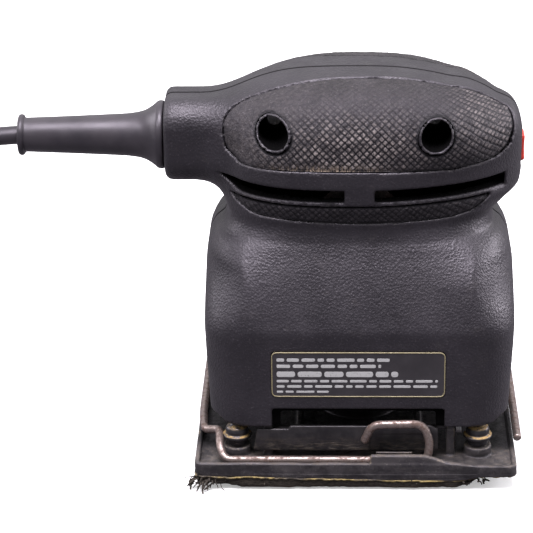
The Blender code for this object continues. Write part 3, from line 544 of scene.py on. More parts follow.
def moulded_black(name):
    """Black moulded plastic: a fine grain, a purple cast, faint dust, rubs on its edges, painted shade in the
    seam groove and painted shade on the inside."""
    paint = Paint(name)
    paint.colour = paint.mottled(22.0, (0.011, 0.0098, 0.0125), (0.0185, 0.0165, 0.0205), low=0.35)
    paint.cover(paint.spots(0.6, 2.0, 0.7, 0.55, 0.75, 0.6), (0.065, 0.058, 0.066))
    rubs = paint.ranged(paint.clouds(1.4, 4.0), 0.35, 0.65, 0.1, 1.3)
    edge = paint.times(paint.attribute("wear"), rubs)
    paint.cover(paint.ranged(edge, 0.3, 1.0, 0, 0.28), (0.12, 0.112, 0.105))
    paint.cover(paint.spots(7.0, 5.0, 0.7, 0.55, 0.8, 0.16), (0.07, 0.062, 0.055))
    # painted shade: the walls of the groove at the parting seam, and faces deep under the outer surface
    # (wells, slots, the inside), are painted near-black, made fully rough and lose most of their reflection
    painted_seam_shade = paint.ranged(paint.off_middle(), 0.95, 0.6)
    inside = paint.ranged(paint.attribute("depth"), 0.3, 1.2, 0, 0.97)
    paint.cover(paint.larger(painted_seam_shade, inside), (0.0012, 0.0012, 0.0012))
    normal = paint.bump(paint.cells(0.9), 0.14, strength=0.9)
    normal = paint.bump(paint.clouds(0.45, 2.0), 0.1, normal, 0.8)
    rough = paint.uneven(9.0, 0.38, 0.52)
    rough = paint.larger(rough, paint.larger(painted_seam_shade, inside))
    return paint.done(rough, normal=normal, specular=paint.ranged(inside, 0, 1, 0.5, 0.04))


def grip_black(name):
    """The textured grip: grooves painted near-black as shade, tops polished and lightened by the hand with a
    painted highlight at the right end, and tan scuffs low down.
    """
    paint = Paint(name)
    height = paint.attribute("relief")
    paint.colour = paint.mottled(11.0, (0.013, 0.012, 0.014), (0.022, 0.02, 0.023), low=0.35)
    paint.cover(paint.spots(0.7, 3.0, 0.75, 0.56, 0.68, 0.6), (0.1, 0.092, 0.096))
    # painted shade: where the relief is low, in the grooves between scales and round the patch's edge, the
    # colour goes near-black
    paint.cover(paint.ranged(height, 0.4, 0.02, 0, 0.85), (0.003, 0.003, 0.0035))
    # the raised tops are lightened by the worn attribute: real wear from the hand in the middle of the grip,
    # and a painted highlight at its right end
    tops = paint.ranged(height, 0.3, 0.8, 0, 1)
    wear_and_highlight = paint.times(tops, paint.attribute("wear_and_highlight"))
    wear_and_highlight = paint.times(wear_and_highlight, paint.ranged(paint.clouds(1.9, 4.0, 0.8), 0.4, 0.62, 0.08, 1.0))
    paint.cover(wear_and_highlight, (0.3, 0.26, 0.25))
    scuff = paint.spots((0.6, 0.6, 2.0), 3.0, 0.7, 0.42, 0.6)
    scuff = paint.times(scuff, paint.attribute("scuff"))
    paint.cover(scuff, (0.3, 0.235, 0.18))
    normal = paint.bump(paint.clouds(0.8, 4.0, 0.8), 0.3)
    rough = paint.ranged(wear_and_highlight, 0, 1, 0.42, 0.32)
    return paint.done(rough, normal=normal, specular=0.24)


def soft_rubber(name):
    """The sleeve and cord: smooth dark rubber with a faint bloom and a few scratches."""
    paint = Paint(name)
    paint.colour = paint.mottled(14.0, (0.019, 0.017, 0.021), (0.034, 0.03, 0.035))
    paint.cover(paint.spots((9.0, 0.5, 0.5), 4.0, 0.7, 0.66, 0.78, 0.4), (0.1, 0.09, 0.085))
    return paint.done(paint.uneven(6.0, 0.34, 0.46), normal=paint.bump(paint.clouds(0.4, 2.0), 0.02))


def dusty_casting(name):
    """The platen: painted casting with scraped edges, tan sanding dust on what faces up, and painted shade in
    its middle under the housing.
    """
    paint = Paint(name)
    paint.colour = paint.mottled(6.0, (0.026, 0.024, 0.027), (0.06, 0.054, 0.056), 5.0)
    paint.cover(paint.spots(0.7, 3.0, 0.8, 0.58, 0.7, 0.8), (0.15, 0.14, 0.13))
    paint.cover(paint.spots((12.0, 12.0, 3.0), 4.0, 0.7, 0.4, 0.75, 0.5), (0.075, 0.068, 0.064))
    dust = paint.times(paint.ranged(paint.facing_up(), 0.5, 0.95), paint.spots(3.0, 6.0, 0.75, 0.35, 0.7))
    paint.cover(paint.times(dust, 0.5), (0.13, 0.105, 0.075))
    tray = paint.ranged(paint.where()["Z"], 8.2, 7.2, 0, 0.75)
    tray = paint.times(tray, paint.spots(9.0, 5.0, 0.7, 0.62, 0.42))
    paint.cover(tray, (0.004, 0.004, 0.004))
    # painted shade: the middle of the platen, under the housing, is painted near-black
    paint.cover(paint.ranged(paint.off_middle(), 42.0, 36.0, 0, 0.95), (0.002, 0.002, 0.002))
    edge = paint.times(paint.attribute("wear"), paint.spots(1.6, 4.0, 0.7, 0.35, 0.65, 1.5))
    paint.cover(paint.ranged(edge, 0.3, 0.8, 0, 0.55), (0.22, 0.18, 0.13))
    normal = paint.bump(paint.clouds(0.7, 5.0, 0.75), 0.14)
    return paint.done(paint.ranged(dust, 0, 1, 0.5, 0.9), normal=normal)


def worn_felt(name):
    """The pad: dark felt and foam, fibrous, brown with dust at its lower edge."""
    paint = Paint(name)
    fibres = paint.clouds((1.6, 1.6, 0.35), 5.0, 0.8, 1.0)
    paint.colour = paint.mixed(paint.ranged(fibres, 0.35, 0.7), (0.018, 0.016, 0.015), (0.085, 0.072, 0.058))
    low = paint.ranged(paint.where()["Z"], -0.6, -2.0)
    paint.cover(paint.times(low, 0.6), (0.11, 0.075, 0.055))
    return paint.done(0.95, normal=paint.bump(fibres, 0.35), specular=0.2)


def old_glue(name):
    """The glue line: brittle yellow cement, dirty in places."""
    paint = Paint(name)
    lumps = paint.clouds(2.2, 5.0, 0.75)
    paint.colour = paint.mixed(paint.ranged(lumps, 0.35, 0.62), (0.11, 0.085, 0.045), (0.36, 0.27, 0.09))
    paint.cover(paint.ranged(paint.clouds(7.0, 4.0), 0.42, 0.62, 0, 0.9), (0.04, 0.035, 0.03))
    return paint.done(0.6, normal=paint.bump(lumps, 0.2))


def rusty_wire(name):
    """The clamp levers: tarnished spring wire with brown rust and bright rubs."""
    paint = Paint(name)
    rust = paint.spots(2.6, 6.0, 0.75, 0.42, 0.66)
    paint.colour = paint.mixed(rust, (0.26, 0.215, 0.2), (0.085, 0.05, 0.036))
    bright = paint.spots((7.0, 1.2, 1.2), 4.0, 0.7, 0.62, 0.74, 0.8)
    paint.cover(bright, (0.5, 0.44, 0.41))
    rough = paint.maths("ADD", paint.ranged(rust, 0, 1, 0.34, 0.72), paint.times(bright, -0.1))
    metal = paint.ranged(rust, 0, 1, 0.85, 0.35)
    normal = paint.bump(paint.clouds(0.45, 4.0, 0.7), 0.07)
    return paint.done(rough, metal, normal)


def blacked_steel(name):
    """The clamp plates: blackened sheet steel, rubbed, with dust caked low on the face."""
    paint = Paint(name)
    paint.colour = paint.mottled(5.0, (0.02, 0.019, 0.021), (0.045, 0.042, 0.043), 4.0)
    low = paint.ranged(paint.where()["Z"], 16.0, 9.5)
    caked = paint.times(low, paint.spots((5.0, 2.0, 1.6), 6.0, 0.75, 0.42, 0.68))
    paint.cover(paint.times(caked, 0.75), (0.105, 0.083, 0.058))
    lumps = paint.spots(1.3, 4.0, 0.8, 0.66, 0.72, 0.8)
    paint.cover(paint.times(lumps, low), (0.3, 0.22, 0.15))
    edge = paint.ranged(paint.attribute("wear"), 0.35, 0.85, 0, 0.6)
    paint.cover(edge, (0.2, 0.19, 0.175))
    rough = paint.ranged(caked, 0, 1, 0.42, 0.85)
    return paint.done(rough, paint.ranged(caked, 0, 1, 0.45, 0.0), paint.bump(caked, 0.15))


def foot_rubber(name):
    """The feet: black rubber with rings of yellow sanding dust on the ledges."""
    paint = Paint(name)
    paint.colour = paint.mottled(3.0, (0.01, 0.01, 0.011), (0.022, 0.021, 0.023))
    up = paint.ranged(paint.facing_up(), 0.45, 0.9)
    caked = paint.times(up, paint.spots(2.2, 5.0, 0.75, 0.38, 0.6))
    hollow = paint.ranged(paint.attribute("wear"), -0.25, -0.6)
    caked = paint.larger(caked, paint.times(hollow, 0.7))
    paint.cover(caked, (0.36, 0.24, 0.09))
    return paint.done(paint.ranged(caked, 0, 1, 0.3, 0.85), normal=paint.bump(paint.clouds(0.6, 4.0), 0.06))


def red_plastic(name):
    """The rocker: red plastic, darker in its corners."""
    paint = Paint(name)
    paint.colour = paint.mottled(4.0, (0.62, 0.035, 0.022), (0.74, 0.06, 0.035))
    paint.cover(paint.ranged(paint.attribute("wear"), -0.1, -0.5, 0, 0.7), (0.09, 0.02, 0.015))
    return paint.done(paint.uneven(2.0, 0.28, 0.4, 3.0), normal=paint.bump(paint.clouds(0.3), 0.02))


def plate_black(name):
    """The nameplate's face: satin black film, a little smoother than the housing."""
    paint = Paint(name)
    paint.colour = paint.mottled(8.0, (0.026, 0.024, 0.026), (0.038, 0.035, 0.038))
    paint.cover(paint.spots((6.0, 1.0, 0.4), 4.0, 0.7, 0.68, 0.78, 0.5), (0.09, 0.085, 0.08))
    return paint.done(paint.uneven(3.0, 0.36, 0.5), normal=paint.bump(paint.clouds(0.5), 0.02))


def printed(name, ink, dirt):
    """Ink on the nameplate, rubbed away in small spots."""
    paint = Paint(name)
    rubbed = paint.spots(0.8, 4.0, 0.75, 0.55, 0.72)
    paint.colour = paint.mixed(rubbed, ink, dirt)
    return paint.done(0.5, normal=paint.bump(rubbed, 0.01))


def metal(name, clean, stain, rough, grain):
    """Bare metal of the inner parts: brushed, with faint stains."""
    paint = Paint(name)
    paint.colour = paint.mixed(paint.spots(6.0, 5.0, 0.7, 0.45, 0.75), clean, stain)
    brushed = paint.clouds(grain, 3.0, 0.7)
    made_rough = paint.ranged(brushed, 0.3, 0.7, rough - 0.08, rough + 0.1)
    return paint.done(made_rough, 1.0, paint.bump(brushed, 0.02))


def plain_moulded(name, first, second, rough=0.45):
    """Moulded insulating parts inside: fine grain and a slight mottle."""
    paint = Paint(name)
    paint.colour = paint.mottled(5.0, first, second, 4.0)
    made_rough = paint.uneven(2.0, rough - 0.06, rough + 0.08)
    return paint.done(made_rough, normal=paint.bump(paint.clouds(0.4), 0.02))


# ---------------------------------------------------------------- housing

def motor_case(x, y, z):
    """The square lower body: above a crease its face slopes in and its corners grow rounder."""
    half = np.where(x < 0, curve(z, LEFT), curve(z, RIGHT))
    radius = PLAN_RADIUS + 22 * smooth_step(z, 52, 76)
    plan = rounded(np.abs(x) - half, np.abs(y) - FACE_Y, radius)
    dish = 0.92 * (np.abs(y) - curve(z, DISH))
    return soft_max(plan, dish, 0.6)


def grip(x, y, z):
    """The waist and the domed grip, an uneven superellipse at every level."""
    left, right, depth = curve(z, LEFT), curve(z, RIGHT), curve(z, DISH)
    rise = np.maximum(z - LIP_Z, 0) / (CREST_Z - LIP_Z)
    power = 2.6 - 0.6 * smooth_step(x, -20, 20) + 1.3 * (1 - smooth_step(z, 80, 100))
    fullness = 3.4 - 1.0 * smooth_step(np.abs(x - 8), 12, 44)
    power = power + (fullness - power) * smooth_step(rise, 0, 0.6)
    reach = np.where(x < CREST_X, CREST_X + left, right - CREST_X)
    ends = 3.2 - 0.8 * smooth_step(x, -25, 25) + 0.3 * smooth_step(x, 30, 40) + 0.7 * smooth_step(x, 48, 58)
    along = (np.abs((x - CREST_X) / reach) ** ends + rise ** ends + 1e-9) ** (1 / ends)
    return ((along ** power + np.abs(y / depth) ** power) ** (1 / power) - 1) * depth


def cord_block(x, y, z):
    """The round-sided block that holds the sleeve."""
    half_y, half_z, middle_z, radius = 15.5, 15.5, 114.3, 10.5
    section = rounded(np.abs(y) - half_y, np.abs(z - middle_z) - half_z, radius)
    return soft_max(soft_max(section, BOSS_X - x, 3.4), x + 20, 4.0)


def skin(x, y, z):
    """The housing's outer surface."""
    share = smooth_step(z, 70, 88)
    body = motor_case(x, y, z) * (1 - share) + grip(x, y, z) * share
    return soft_min(body, cord_block(x, y, z), 8.0)


def strip(place, value, low, high, scale):
    """Distance to the strip between two curves, in millimetres."""
    distance = None
    for knots, side in ((low, -1), (high, 1)):
        lean = (curve(place + 0.2, knots) - curve(place - 0.2, knots)) / 0.4 * scale
        edge = side * (value - curve(place, knots)) * scale / np.sqrt(1 + lean ** 2)
        distance = edge if distance is None else soft_max(distance, edge, 1.0)
    ends = np.maximum(low[0][0] - place, place - low[-1][0])
    return np.maximum(distance, ends)


def oval(x, y, z):
    """The grip's textured oval, on both sides."""
    angle = np.degrees(np.arctan2(z - LIP_Z, np.abs(y)))
    return strip(x, angle, OVAL_LOW, OVAL_HIGH, ARC)


def crescent(x, y, z):
    """The textured crescent under the air slots."""
    return strip(x, z, CRESCENT_LOW, ((-100, CRESCENT_TOP), (100, CRESCENT_TOP)), 1.0)


def well_distance(x, z):
    """Distance from the nearer screw well's axis."""
    return nearest(*[np.hypot(x - well_x, z - well_z) for well_x, well_z in SCREWS])


def housing_webs(x, y, z):
    """What stands inside the shell: bearing seats, screw bosses, foot sockets and ribs."""
    return nearest(
        block(x, y, z, (-60, -15, 34.5), (60, 15, 38.5)),
        rod(x, y, z, 14.5, 31.2, 41.8),
        block(x, y, z, (-14, -40, 111.4), (14, 40, 120.6)),
        block(np.abs(x), y, z, (22, -60, 62), (26, 60, 64)),
        block(np.abs(x), y, z, (22, -60, 78), (26, 60, 80)),
        well_distance(x, z) - 8.0,
        at_feet(x, y + CENTRE_Y, z, 6.2, 12, 34),
        block(x, y, z, (-61, 2, 101), (-55, 20, 109.8)),
        block(x, y, z, (-61, 2, 117.6), (-55, 20, 126)),
    )


def housing_seats(x, y, z):
    """Bores and seats cut through the webs."""
    return nearest(
        rod(x, y, z, 11.3, 32.7, 40.3),
        rod(x, y, z, 8.5, 28, 45),
        rod(x, y, z, 9.8, 112.7, 119.3),
        rod(x, y, z, 6.5, 105, 113),
        block(x, y, z, (-31.3, -27.3, 61), (31.3, 27.3, 81)),
        rod(x + 58, np.abs(z - 113.7) - 7.7, y, 1.8, -3, 9),
        rod(y, z - CORD_Z, x, 7.8, BOSS_X - 5, BOSS_X + 8),
        np.maximum(well_distance(x, z) - 2.3, np.abs(y) - 13),
    )


def slot_opening(x, y, z, outer):
    """The four air slots. Their lower lips slope inwards, so that they catch the light."""
    lip = 99.8 + np.clip(-outer, 0, 2.3) + 5.0 * smooth_step(-x, 41, 52)
    side = np.abs(x)
    across = rounded(side - 51.6, 5.3 - side, 1.0)
    inner = 16.4 - 9.0 * smooth_step(side, 36, 50) - np.abs(y)
    return np.maximum(np.maximum(across, rounded(lip - z, z - 105.4, 0.5)), inner)


def label_seat(x, z):
    """Distance to the round-cornered outline of the nameplate's recess."""
    (middle_x, _, middle_z), (half_x, _, half_z) = (LABEL_LOW + LABEL_HIGH) / 2, (LABEL_HIGH - LABEL_LOW) / 2
    return rounded(np.abs(x - middle_x) - half_x - 0.25, np.abs(z - middle_z) - half_z - 0.25, 1.7)


def housing(side):
    """One half of the shell. Side is -1 for the half that faces -Y."""
    def shape(x, y, z):
        outer = skin(x, y, z)
        hollow = np.maximum(outer + WALL, -housing_webs(x, y, z))
        solid = soft_max(outer, -hollow, 0.5)
        wells = well_distance(x, z)
        recess = oval(x, y, z)
        across = x if side < 0 else 2 * MIDDLE_X - x
        floor = SKIRT_Z - 0.4 + 1.4 * smooth_step(np.abs(x), 47.5, 51)
        if side < 0:
            recess = np.maximum(recess, WELL_RADIUS + 0.9 - wells)
        cuts = [
            (housing_seats(x, y, z), 0.3),
            (np.maximum(at_feet(x, y + CENTRE_Y, z, 4.1, 10, 30), outer + 1.3), 0.3),
            # the textured patches sit in recesses, with a groove round them
            (np.maximum(recess, -outer - 1.0), 0.35),
            (np.maximum(crescent(x, y, z), -outer - 1.0), 0.35),
            (slot_opening(x, y, z, outer), 0.7),
        ]
        if side < 0:
            cuts += [
                (np.maximum(wells - WELL_RADIUS, y + 9.0), 0.8),
                (np.maximum(label_seat(x, z), y + FACE_Y - 0.4), 0.25),
            ]
        frame_cut = rounded(np.abs(across + 0.45) - 30.9, z - 26.1, 1.0)
        notch = rounded(np.abs(across + 0.4) - 27.8, z - 24.6, 1.2)
        switch = rounded(np.abs(y) - 4.7, np.abs(z - ROCKER_Z) - 6.3, 1.0)
        cuts += [
            # the notch for the clamp, in a shallow recess of its own
            (np.maximum(frame_cut, FACE_Y - 1.4 - np.abs(y)), 0.5),
            (np.maximum(notch, 40 - np.abs(y)), 0.7),
            (np.maximum(switch, 50 - x), 0.7),
            (z - floor, 0.5),
            (side * y - SEAM, 0.4),
        ]
        for cut, edge in cuts:
            solid = soft_max(solid, -cut, edge)
        return solid
    return shape


def add_housing(name, side, node, material):
    """One half of the shell, with its depth under the outer surface, by which the material paints shade
    inside.
    """
    low, high = HOUSING_LOW.copy(), HOUSING_HIGH.copy()
    low[1], high[1] = (-FACE_Y, -SEAM) if side < 0 else (SEAM, FACE_Y)
    points, faces = carved(housing(side), low, high, CELL, fine_y=side * SEAM)
    made = make_piece(name, points, faces, "housing", material, (node,), "black_housing")
    set_values(made, "depth", np.clip(-skin(*points.T), 0, 10))


# ---------------------------------------------------------------- textured patches

def diamond_relief(u, v):
    """Height of overlapping scales, 0 in a groove and near 1 on a top. Their rows bend up to the right."""
    period = SCALE_SIDE * math.sqrt(2)
    level = v - 0.004 * np.maximum(u - 14, 0) ** 2 + 0.25 * np.sin(u * 0.31 + 1.3) * np.sin(v * 0.23)
    first, second = (u + level) / period % 1, (u - level) / period % 1
    groove = smooth_step(first, 0.0, 0.3) * smooth_step(1 - second, 0.0, 0.3)
    far = smooth_step(1 - first, 0.0, 0.16) * smooth_step(second, 0.0, 0.16)
    column, row = np.floor((u + level) / period), np.floor((u - level) / period)
    chance = np.sin(column * 12.9898 + row * 78.233) * 43758.5453
    tilt = 0.6 + 0.4 * (second + 1 - first) / 2
    return groove * (0.45 + 0.55 * far) * tilt * (0.72 + 0.28 * (chance % 1))


def skin_grid(angles):
    """A grid on the near side of the skin, even along X and along its girth between two angles.
    Returned are its points, its places along both lines, and which places lie beyond the last angle."""
    rays, halvings = 220, 22
    columns = np.arange(-50, 56.5, PATCH_STEP)[:, None]
    angle = np.radians(np.linspace(*angles, rays))[None, :]
    near, far = np.full((len(columns), rays), 3.0), np.full((len(columns), rays), 62.0)
    for _ in range(halvings):
        middle = (near + far) / 2
        inside = skin(columns, middle * np.cos(angle), LIP_Z + middle * np.sin(angle)) < 0
        near, far = np.where(inside, middle, near), np.where(inside, far, middle)
    line_y, line_z = near * np.cos(angle), LIP_Z + near * np.sin(angle)
    lengths = np.hypot(np.diff(line_y, axis=1), np.diff(line_z, axis=1)).cumsum(axis=1)
    lengths = np.concatenate([np.zeros((len(columns), 1)), lengths], axis=1)
    rows = np.arange(0, lengths.max(), PATCH_STEP)
    grid = np.zeros((len(columns), len(rows), 3))
    grid[:, :, 0] = columns
    for i in range(len(columns)):
        grid[i, :, 1] = -np.interp(rows, lengths[i], line_y[i])
        grid[i, :, 2] = np.interp(rows, lengths[i], line_z[i])
    u, v = np.broadcast_arrays(columns, rows[None, :])
    return grid, u, v, rows[None, :] > lengths[:, -1:]


def add_patch(name, side, region, angles, low_fade, material):
    """A textured patch: a grid over the skin, trimmed to its region and sunk into its recess."""
    grid, u, v, beyond = skin_grid(angles)
    points = grid.reshape(-1, 3)

    def edge(x, y, z):
        distance = region(x, y, z) + 0.4
        if side < 0:
            distance = np.maximum(distance, WELL_RADIUS + 1.25 - well_distance(x, z))
        return distance

    distance = edge(*points.T).reshape(beyond.shape)
    inside = (distance < 0) & ~beyond
    cell = inside[:-1, :-1] & inside[1:, :-1] & inside[:-1, 1:] & inside[1:, 1:]
    number = np.arange(distance.size).reshape(distance.shape)
    corners = [number[:-1, :-1], number[1:, :-1], number[1:, 1:], number[:-1, 1:]]
    faces = np.stack([corner[cell] for corner in corners], axis=1)
    used, faces = np.unique(faces, return_inverse=True)
    faces = faces.reshape(-1, 4)
    points, u, v = points[used], u.ravel()[used], v.ravel()[used]
    # points on the rim are those with fewer than four faces: they move out to the true edge
    rim = np.bincount(faces.ravel()) < 4
    away = distance.ravel()[used]
    push = slope(edge, points)
    push /= np.maximum((push ** 2).sum(axis=1), 0.2)[:, None]
    points[rim] -= (np.clip(away, -0.6, 0)[:, None] * push)[rim]
    points = settled(skin, points, 2)
    normals = slope(skin, points)
    normals /= np.linalg.norm(normals, axis=1)[:, None]
    # the texture fades where the hand has worn it away
    height = np.degrees(np.arctan2(points[:, 2] - LIP_Z, -points[:, 1]))
    fade = 0.12 + 0.88 * smooth_step(points[:, 0] - 0.4 * (height - 40), *low_fade)
    fade = fade * (1 - 0.4 * smooth_step(height, 34, 60) * smooth_step(-points[:, 0], -34, -12))
    inward = smooth_step(-away, 0.1, 0.9)
    relief = diamond_relief(u, v)
    raised = 1 - fade + relief * fade
    rough = 0.08 * noise(points, 0.8, 3) + 0.05 * noise(points, 2.3, 4)
    lift = -0.32 + (0.36 * raised + rough) * inward
    top = points + normals * lift[:, None]
    # the rim runs down into the recess as a wall, and the sheet stays open underneath
    walls, rim_points = rim_walls(faces)
    faces = np.concatenate([faces[:, ::-1], walls[:, ::-1]])
    points = np.concatenate([top, points[rim_points] - normals[rim_points] * 1.1])
    if side > 0:
        points = points * (1, -1, 1)
        faces = faces[:, ::-1]
    made = make_piece(name, points, faces, "housing", material, (), "black_housing")
    # lighter tops: middle is real wear from the hand, right is a painted highlight where light falls on the
    # grip's right end
    middle = np.exp(-((top[:, 0] + 3) / 22) ** 2 - ((height - 22) / 13) ** 2)
    right = 0.45 * smooth_step(top[:, 0], 28, 42) * smooth_step(height, 14, 30)
    scuff = np.exp(-((top[:, 0] + 11) / 15) ** 2 - ((height - 10) / 2.4) ** 2)
    wear_and_highlight = np.clip(middle * 1.2 + right + 0.06, 0, 1)
    # relief falls to zero near the patch's edge, so that the material paints shade in the groove round the
    # patch
    for key, values in (("relief", raised * smooth_step(-away, 0.3, 0.8)), ("wear_and_highlight", wear_and_highlight), ("scuff", scuff)):
        set_values(made, key, np.concatenate([values, values[rim_points]]))


def rim_walls(faces):
    """Quads from the rim of a sheet to a copy of the rim's points, and which points those are."""
    edges = np.concatenate([np.stack([faces[:, i], faces[:, (i + 1) % 4]], axis=1) for i in range(4)])
    known = set(map(tuple, edges.tolist()))
    rim = np.array([(a, b) for a, b in edges.tolist() if (b, a) not in known])
    rim_points, place = np.unique(rim, return_inverse=True)
    place = place.reshape(-1, 2) + faces.max() + 1
    return np.stack([rim[:, 0], rim[:, 1], place[:, 1], place[:, 0]], axis=1), rim_points


# ---------------------------------------------------------------- nameplate

def slab(low, high, radius, steps=6):
    """The outline of a plate that faces -Y, with round corners."""
    (x, z), (end_x, end_z) = (low[0], low[2]), (high[0], high[2])
    return round_corners([(x, z), (end_x, z), (end_x, end_z), (x, end_z)], radius, steps, closed=True)


def plate_mesh(outline, front, back, bevel):
    """Rings of the outline from the back to the bevelled front, closed at both ends."""
    centre = outline.mean(axis=0)
    inner = centre + (outline - centre) * (1 - bevel / np.abs(outline - centre).max(axis=0))
    rings = [(outline, back), (outline, front + bevel), (inner, front)]
    points = np.concatenate([np.insert(ring, 1, depth, axis=1) for ring, depth in rings])
    count = len(outline)
    faces = [list(range(count))[::-1], list(range(2 * count, 3 * count))]
    for level in (0, count):
        for i in range(count):
            j = (i + 1) % count
            faces.append([level + i, level + j, level + count + j, level + count + i])
    return points, faces


def add_nameplate(plate_paint, ink_paint, border_paint):
    """A blank plate with plain bars in place of print, and a thin worn border."""
    front = LABEL_LOW[1] + 0.1
    outline = slab(LABEL_LOW, LABEL_HIGH, 2.0)
    points, faces = plate_mesh(outline, front, front + 0.7, 0.12)
    add_mesh("nameplate_face", points, faces, "housing", plate_paint, ("nameplate",), "label")
    middle = (LABEL_LOW + LABEL_HIGH) / 2 * (1, 0, 1)
    path = np.insert(slab(LABEL_LOW, LABEL_HIGH, 2.0, 8), 1, 0, axis=1)
    path = middle + (path - middle) * (0.994, 0, 0.985) + (0, front + 0.02, 0)
    path = np.concatenate([path, path[:1]])
    points, faces = swept(evenly(path, 0.5), 0.2, 8, dome=False)
    add_mesh("nameplate_border", points, faces, "housing", border_paint, (), "label", 60)
    # rows of bars: (height from the top as a share, thickness, first and last place as shares)
    rows = (
        (0.17, 1.25, 0.03, 0.68), (0.31, 1.25, 0.03, 0.63), (0.49, 2.1, 0.03, 0.73),
        (0.645, 0.95, 0.03, 0.955), (0.765, 0.95, 0.03, 0.955), (0.885, 0.75, 0.03, 0.33),
    )
    width, height = LABEL_HIGH[0] - LABEL_LOW[0], LABEL_HIGH[2] - LABEL_LOW[2]
    random, bars = np.random.default_rng(11), []
    for level, thickness, start, end in rows:
        place, last = LABEL_LOW[0] + start * width, LABEL_LOW[0] + end * width
        middle_z = LABEL_HIGH[2] - level * height
        while place < last:
            long = min(random.uniform(2.2, 6.5) * (1.5 if thickness > 2 else 1), last - place)
            low = (place, 0, middle_z - thickness / 2)
            high = (place + max(long, 1.0), 0, middle_z + thickness / 2)
            outline = slab(low, high, thickness * 0.45, 4)
            bars.append(plate_mesh(outline, front - 0.05, front + 0.15, 0.03))
            place += long + 0.9
    add_mesh("nameplate_bars", *joined(bars), "housing", ink_paint, (), "label")


# ---------------------------------------------------------------- cord and sleeve

def add_sleeve(material):
    """The rubber sleeve: collar, concave flare, long taper and a lip, with its bore."""
    collar, lip, bore = SLEEVE_HIGH[2] - CORD_Z, SLEEVE_LOW[0], CORD_RADIUS + 0.3
    seat = BOSS_X - 0.5
    corners = [
        (bore, SLEEVE_HIGH[0], 0.3), (bore, lip + 1.0, 0.6), (bore + 0.8, lip, 0.4), (7.0, lip, 0.7),
        (7.6, lip + 0.9, 0.6), (7.3, lip + 2.0, 0.5), (6.2, lip + 2.4, 0.6), (6.9, lip + 22, 8.0),
        (7.75, lip + 40.5, 3.5), (8.6, seat - 7.5, 3.0), (10.4, seat - 4.4, 2.2),
        (collar - 0.2, seat - 2.2, 1.0), (collar, seat - 1.0, 0.5), (collar - 0.3, seat, 0.3),
        (7.4, seat, 0.4), (7.4, seat + 3.7, 0.4), (9.6, seat + 3.7, 0.4), (9.6, SLEEVE_HIGH[0], 0.4),
    ]
    points, faces = turned(profile_of(corners), (0, 0, CORD_Z), "X", 80)
    name, node = "strain_relief_sleeve", "strain_relief"
    make_piece(name, points, faces, "housing", material, (node,), "black_rubber", 50)


def profile_of(corners):
    """A closed profile from corners of (radius, height, roundness), with its long runs divided."""
    path = round_corners(corners, 0.3, 4, closed=True)
    path = np.concatenate([path, path[:1]])
    dense = []
    for start, end in zip(path[:-1], path[1:]):
        parts = max(int(np.linalg.norm(end - start) / 1.2), 1)
        dense += [start + (end - start) * i / parts for i in range(parts)]
    return np.array(dense)


def add_cord(material):
    """The cord: round, leaving the sleeve in a gentle curve, and a little wider than high."""
    end = (CORD_LOW[0] + 0.6, 0, CORD_LOW[2] + CORD_RADIUS + 0.2)
    corners = [(CORD_HIGH[0], 0, CORD_Z), (-124, 0, CORD_Z), (-137, 0, CORD_Z - 1.2), end]
    points, faces = swept(evenly(round_corners(corners, 12.0, 10), 0.8), CORD_RADIUS, 36)
    turn = np.arctan2(points[:, 2] - CORD_Z, points[:, 1])
    points[:, 1] *= 1 + 0.05 * np.cos(2 * turn)
    add_mesh("mains_cord", points, faces, "housing", material, ("cord",), "black_rubber", 60)


# ---------------------------------------------------------------- rocker

def rocker_shape(x, y, z):
    """The rocker: a shallow V across its face, tilted so that its upper end is pressed in."""
    tilt, half_width, half_height = math.radians(-8), 3.9, 4.8
    along, up = x - ROCKER_X, z - ROCKER_Z
    out = along * math.cos(tilt) - up * math.sin(tilt)
    rise = along * math.sin(tilt) + up * math.cos(tilt)
    face = 4.75 + 0.2 * np.abs(rise) / half_height - (along - out)
    ends = np.maximum(np.abs(rise), np.abs(rise) * 0.8 - out * 0.6) - half_height
    solid = soft_max(ends, out - face, 0.9)
    solid = soft_max(solid, np.abs(y) - half_width, 0.7)
    return soft_max(solid, -3.0 - out, 0.5)


# ---------------------------------------------------------------- platen and pad

def lip_level(x):
    """Height of the platen's lower edge along X: the glue has let it sag towards the right."""
    return curve(x, ((-60, 3.0), (-30, 2.4), (0, 1.6), (18, 1.3), (30, 1.2), (38, 1.5), (43, 2.6), (60, 2.9)))


def plan_distance(x, y, inset, radius=3.0):
    """Distance to the platen's outline, inset by some millimetres."""
    half_x = (PLATEN_HIGH[0] - PLATEN_LOW[0]) / 2 - inset
    half_y = (PLATEN_HIGH[1] - PLATEN_LOW[1]) / 2 - inset
    return rounded(np.abs(x - MIDDLE_X) - half_x, np.abs(y - CENTRE_Y) - half_y, max(radius - inset, 0.6))


def clamp_lugs(x, y, z):
    """Raised rim, eyelet and hinge posts on one side, facing -Y."""
    edge = PLATEN_LOW[1]
    top = 11.3 - 3.4 * smooth_step(x, 21.5, 35)
    rim = soft_max(block(x, y, z, (3.9, edge + 0.1, 6), (36, edge + 1.9, 20)), z - top, 0.5)
    eyelet = rod(y - AXLE_Y, z - AXLE_Z, x, 3.2, 6.0, 19.0)
    eyelet = np.minimum(eyelet, block(x, y, z, (6, AXLE_Y - 2.5, 6), (19, AXLE_Y + 3.2, AXLE_Z)))
    posts = rod(y - HINGE_Y, z - HINGE_Z, np.abs(x), 2.35, 31.4, 34.4)
    stems = block(np.abs(x), y, z, (31.4, HINGE_Y - 2.35, 6), (34.4, HINGE_Y + 2.35, HINGE_Z))
    return nearest(rim, np.maximum(eyelet, z - 10.3), soft_min(posts, stems, 0.5))


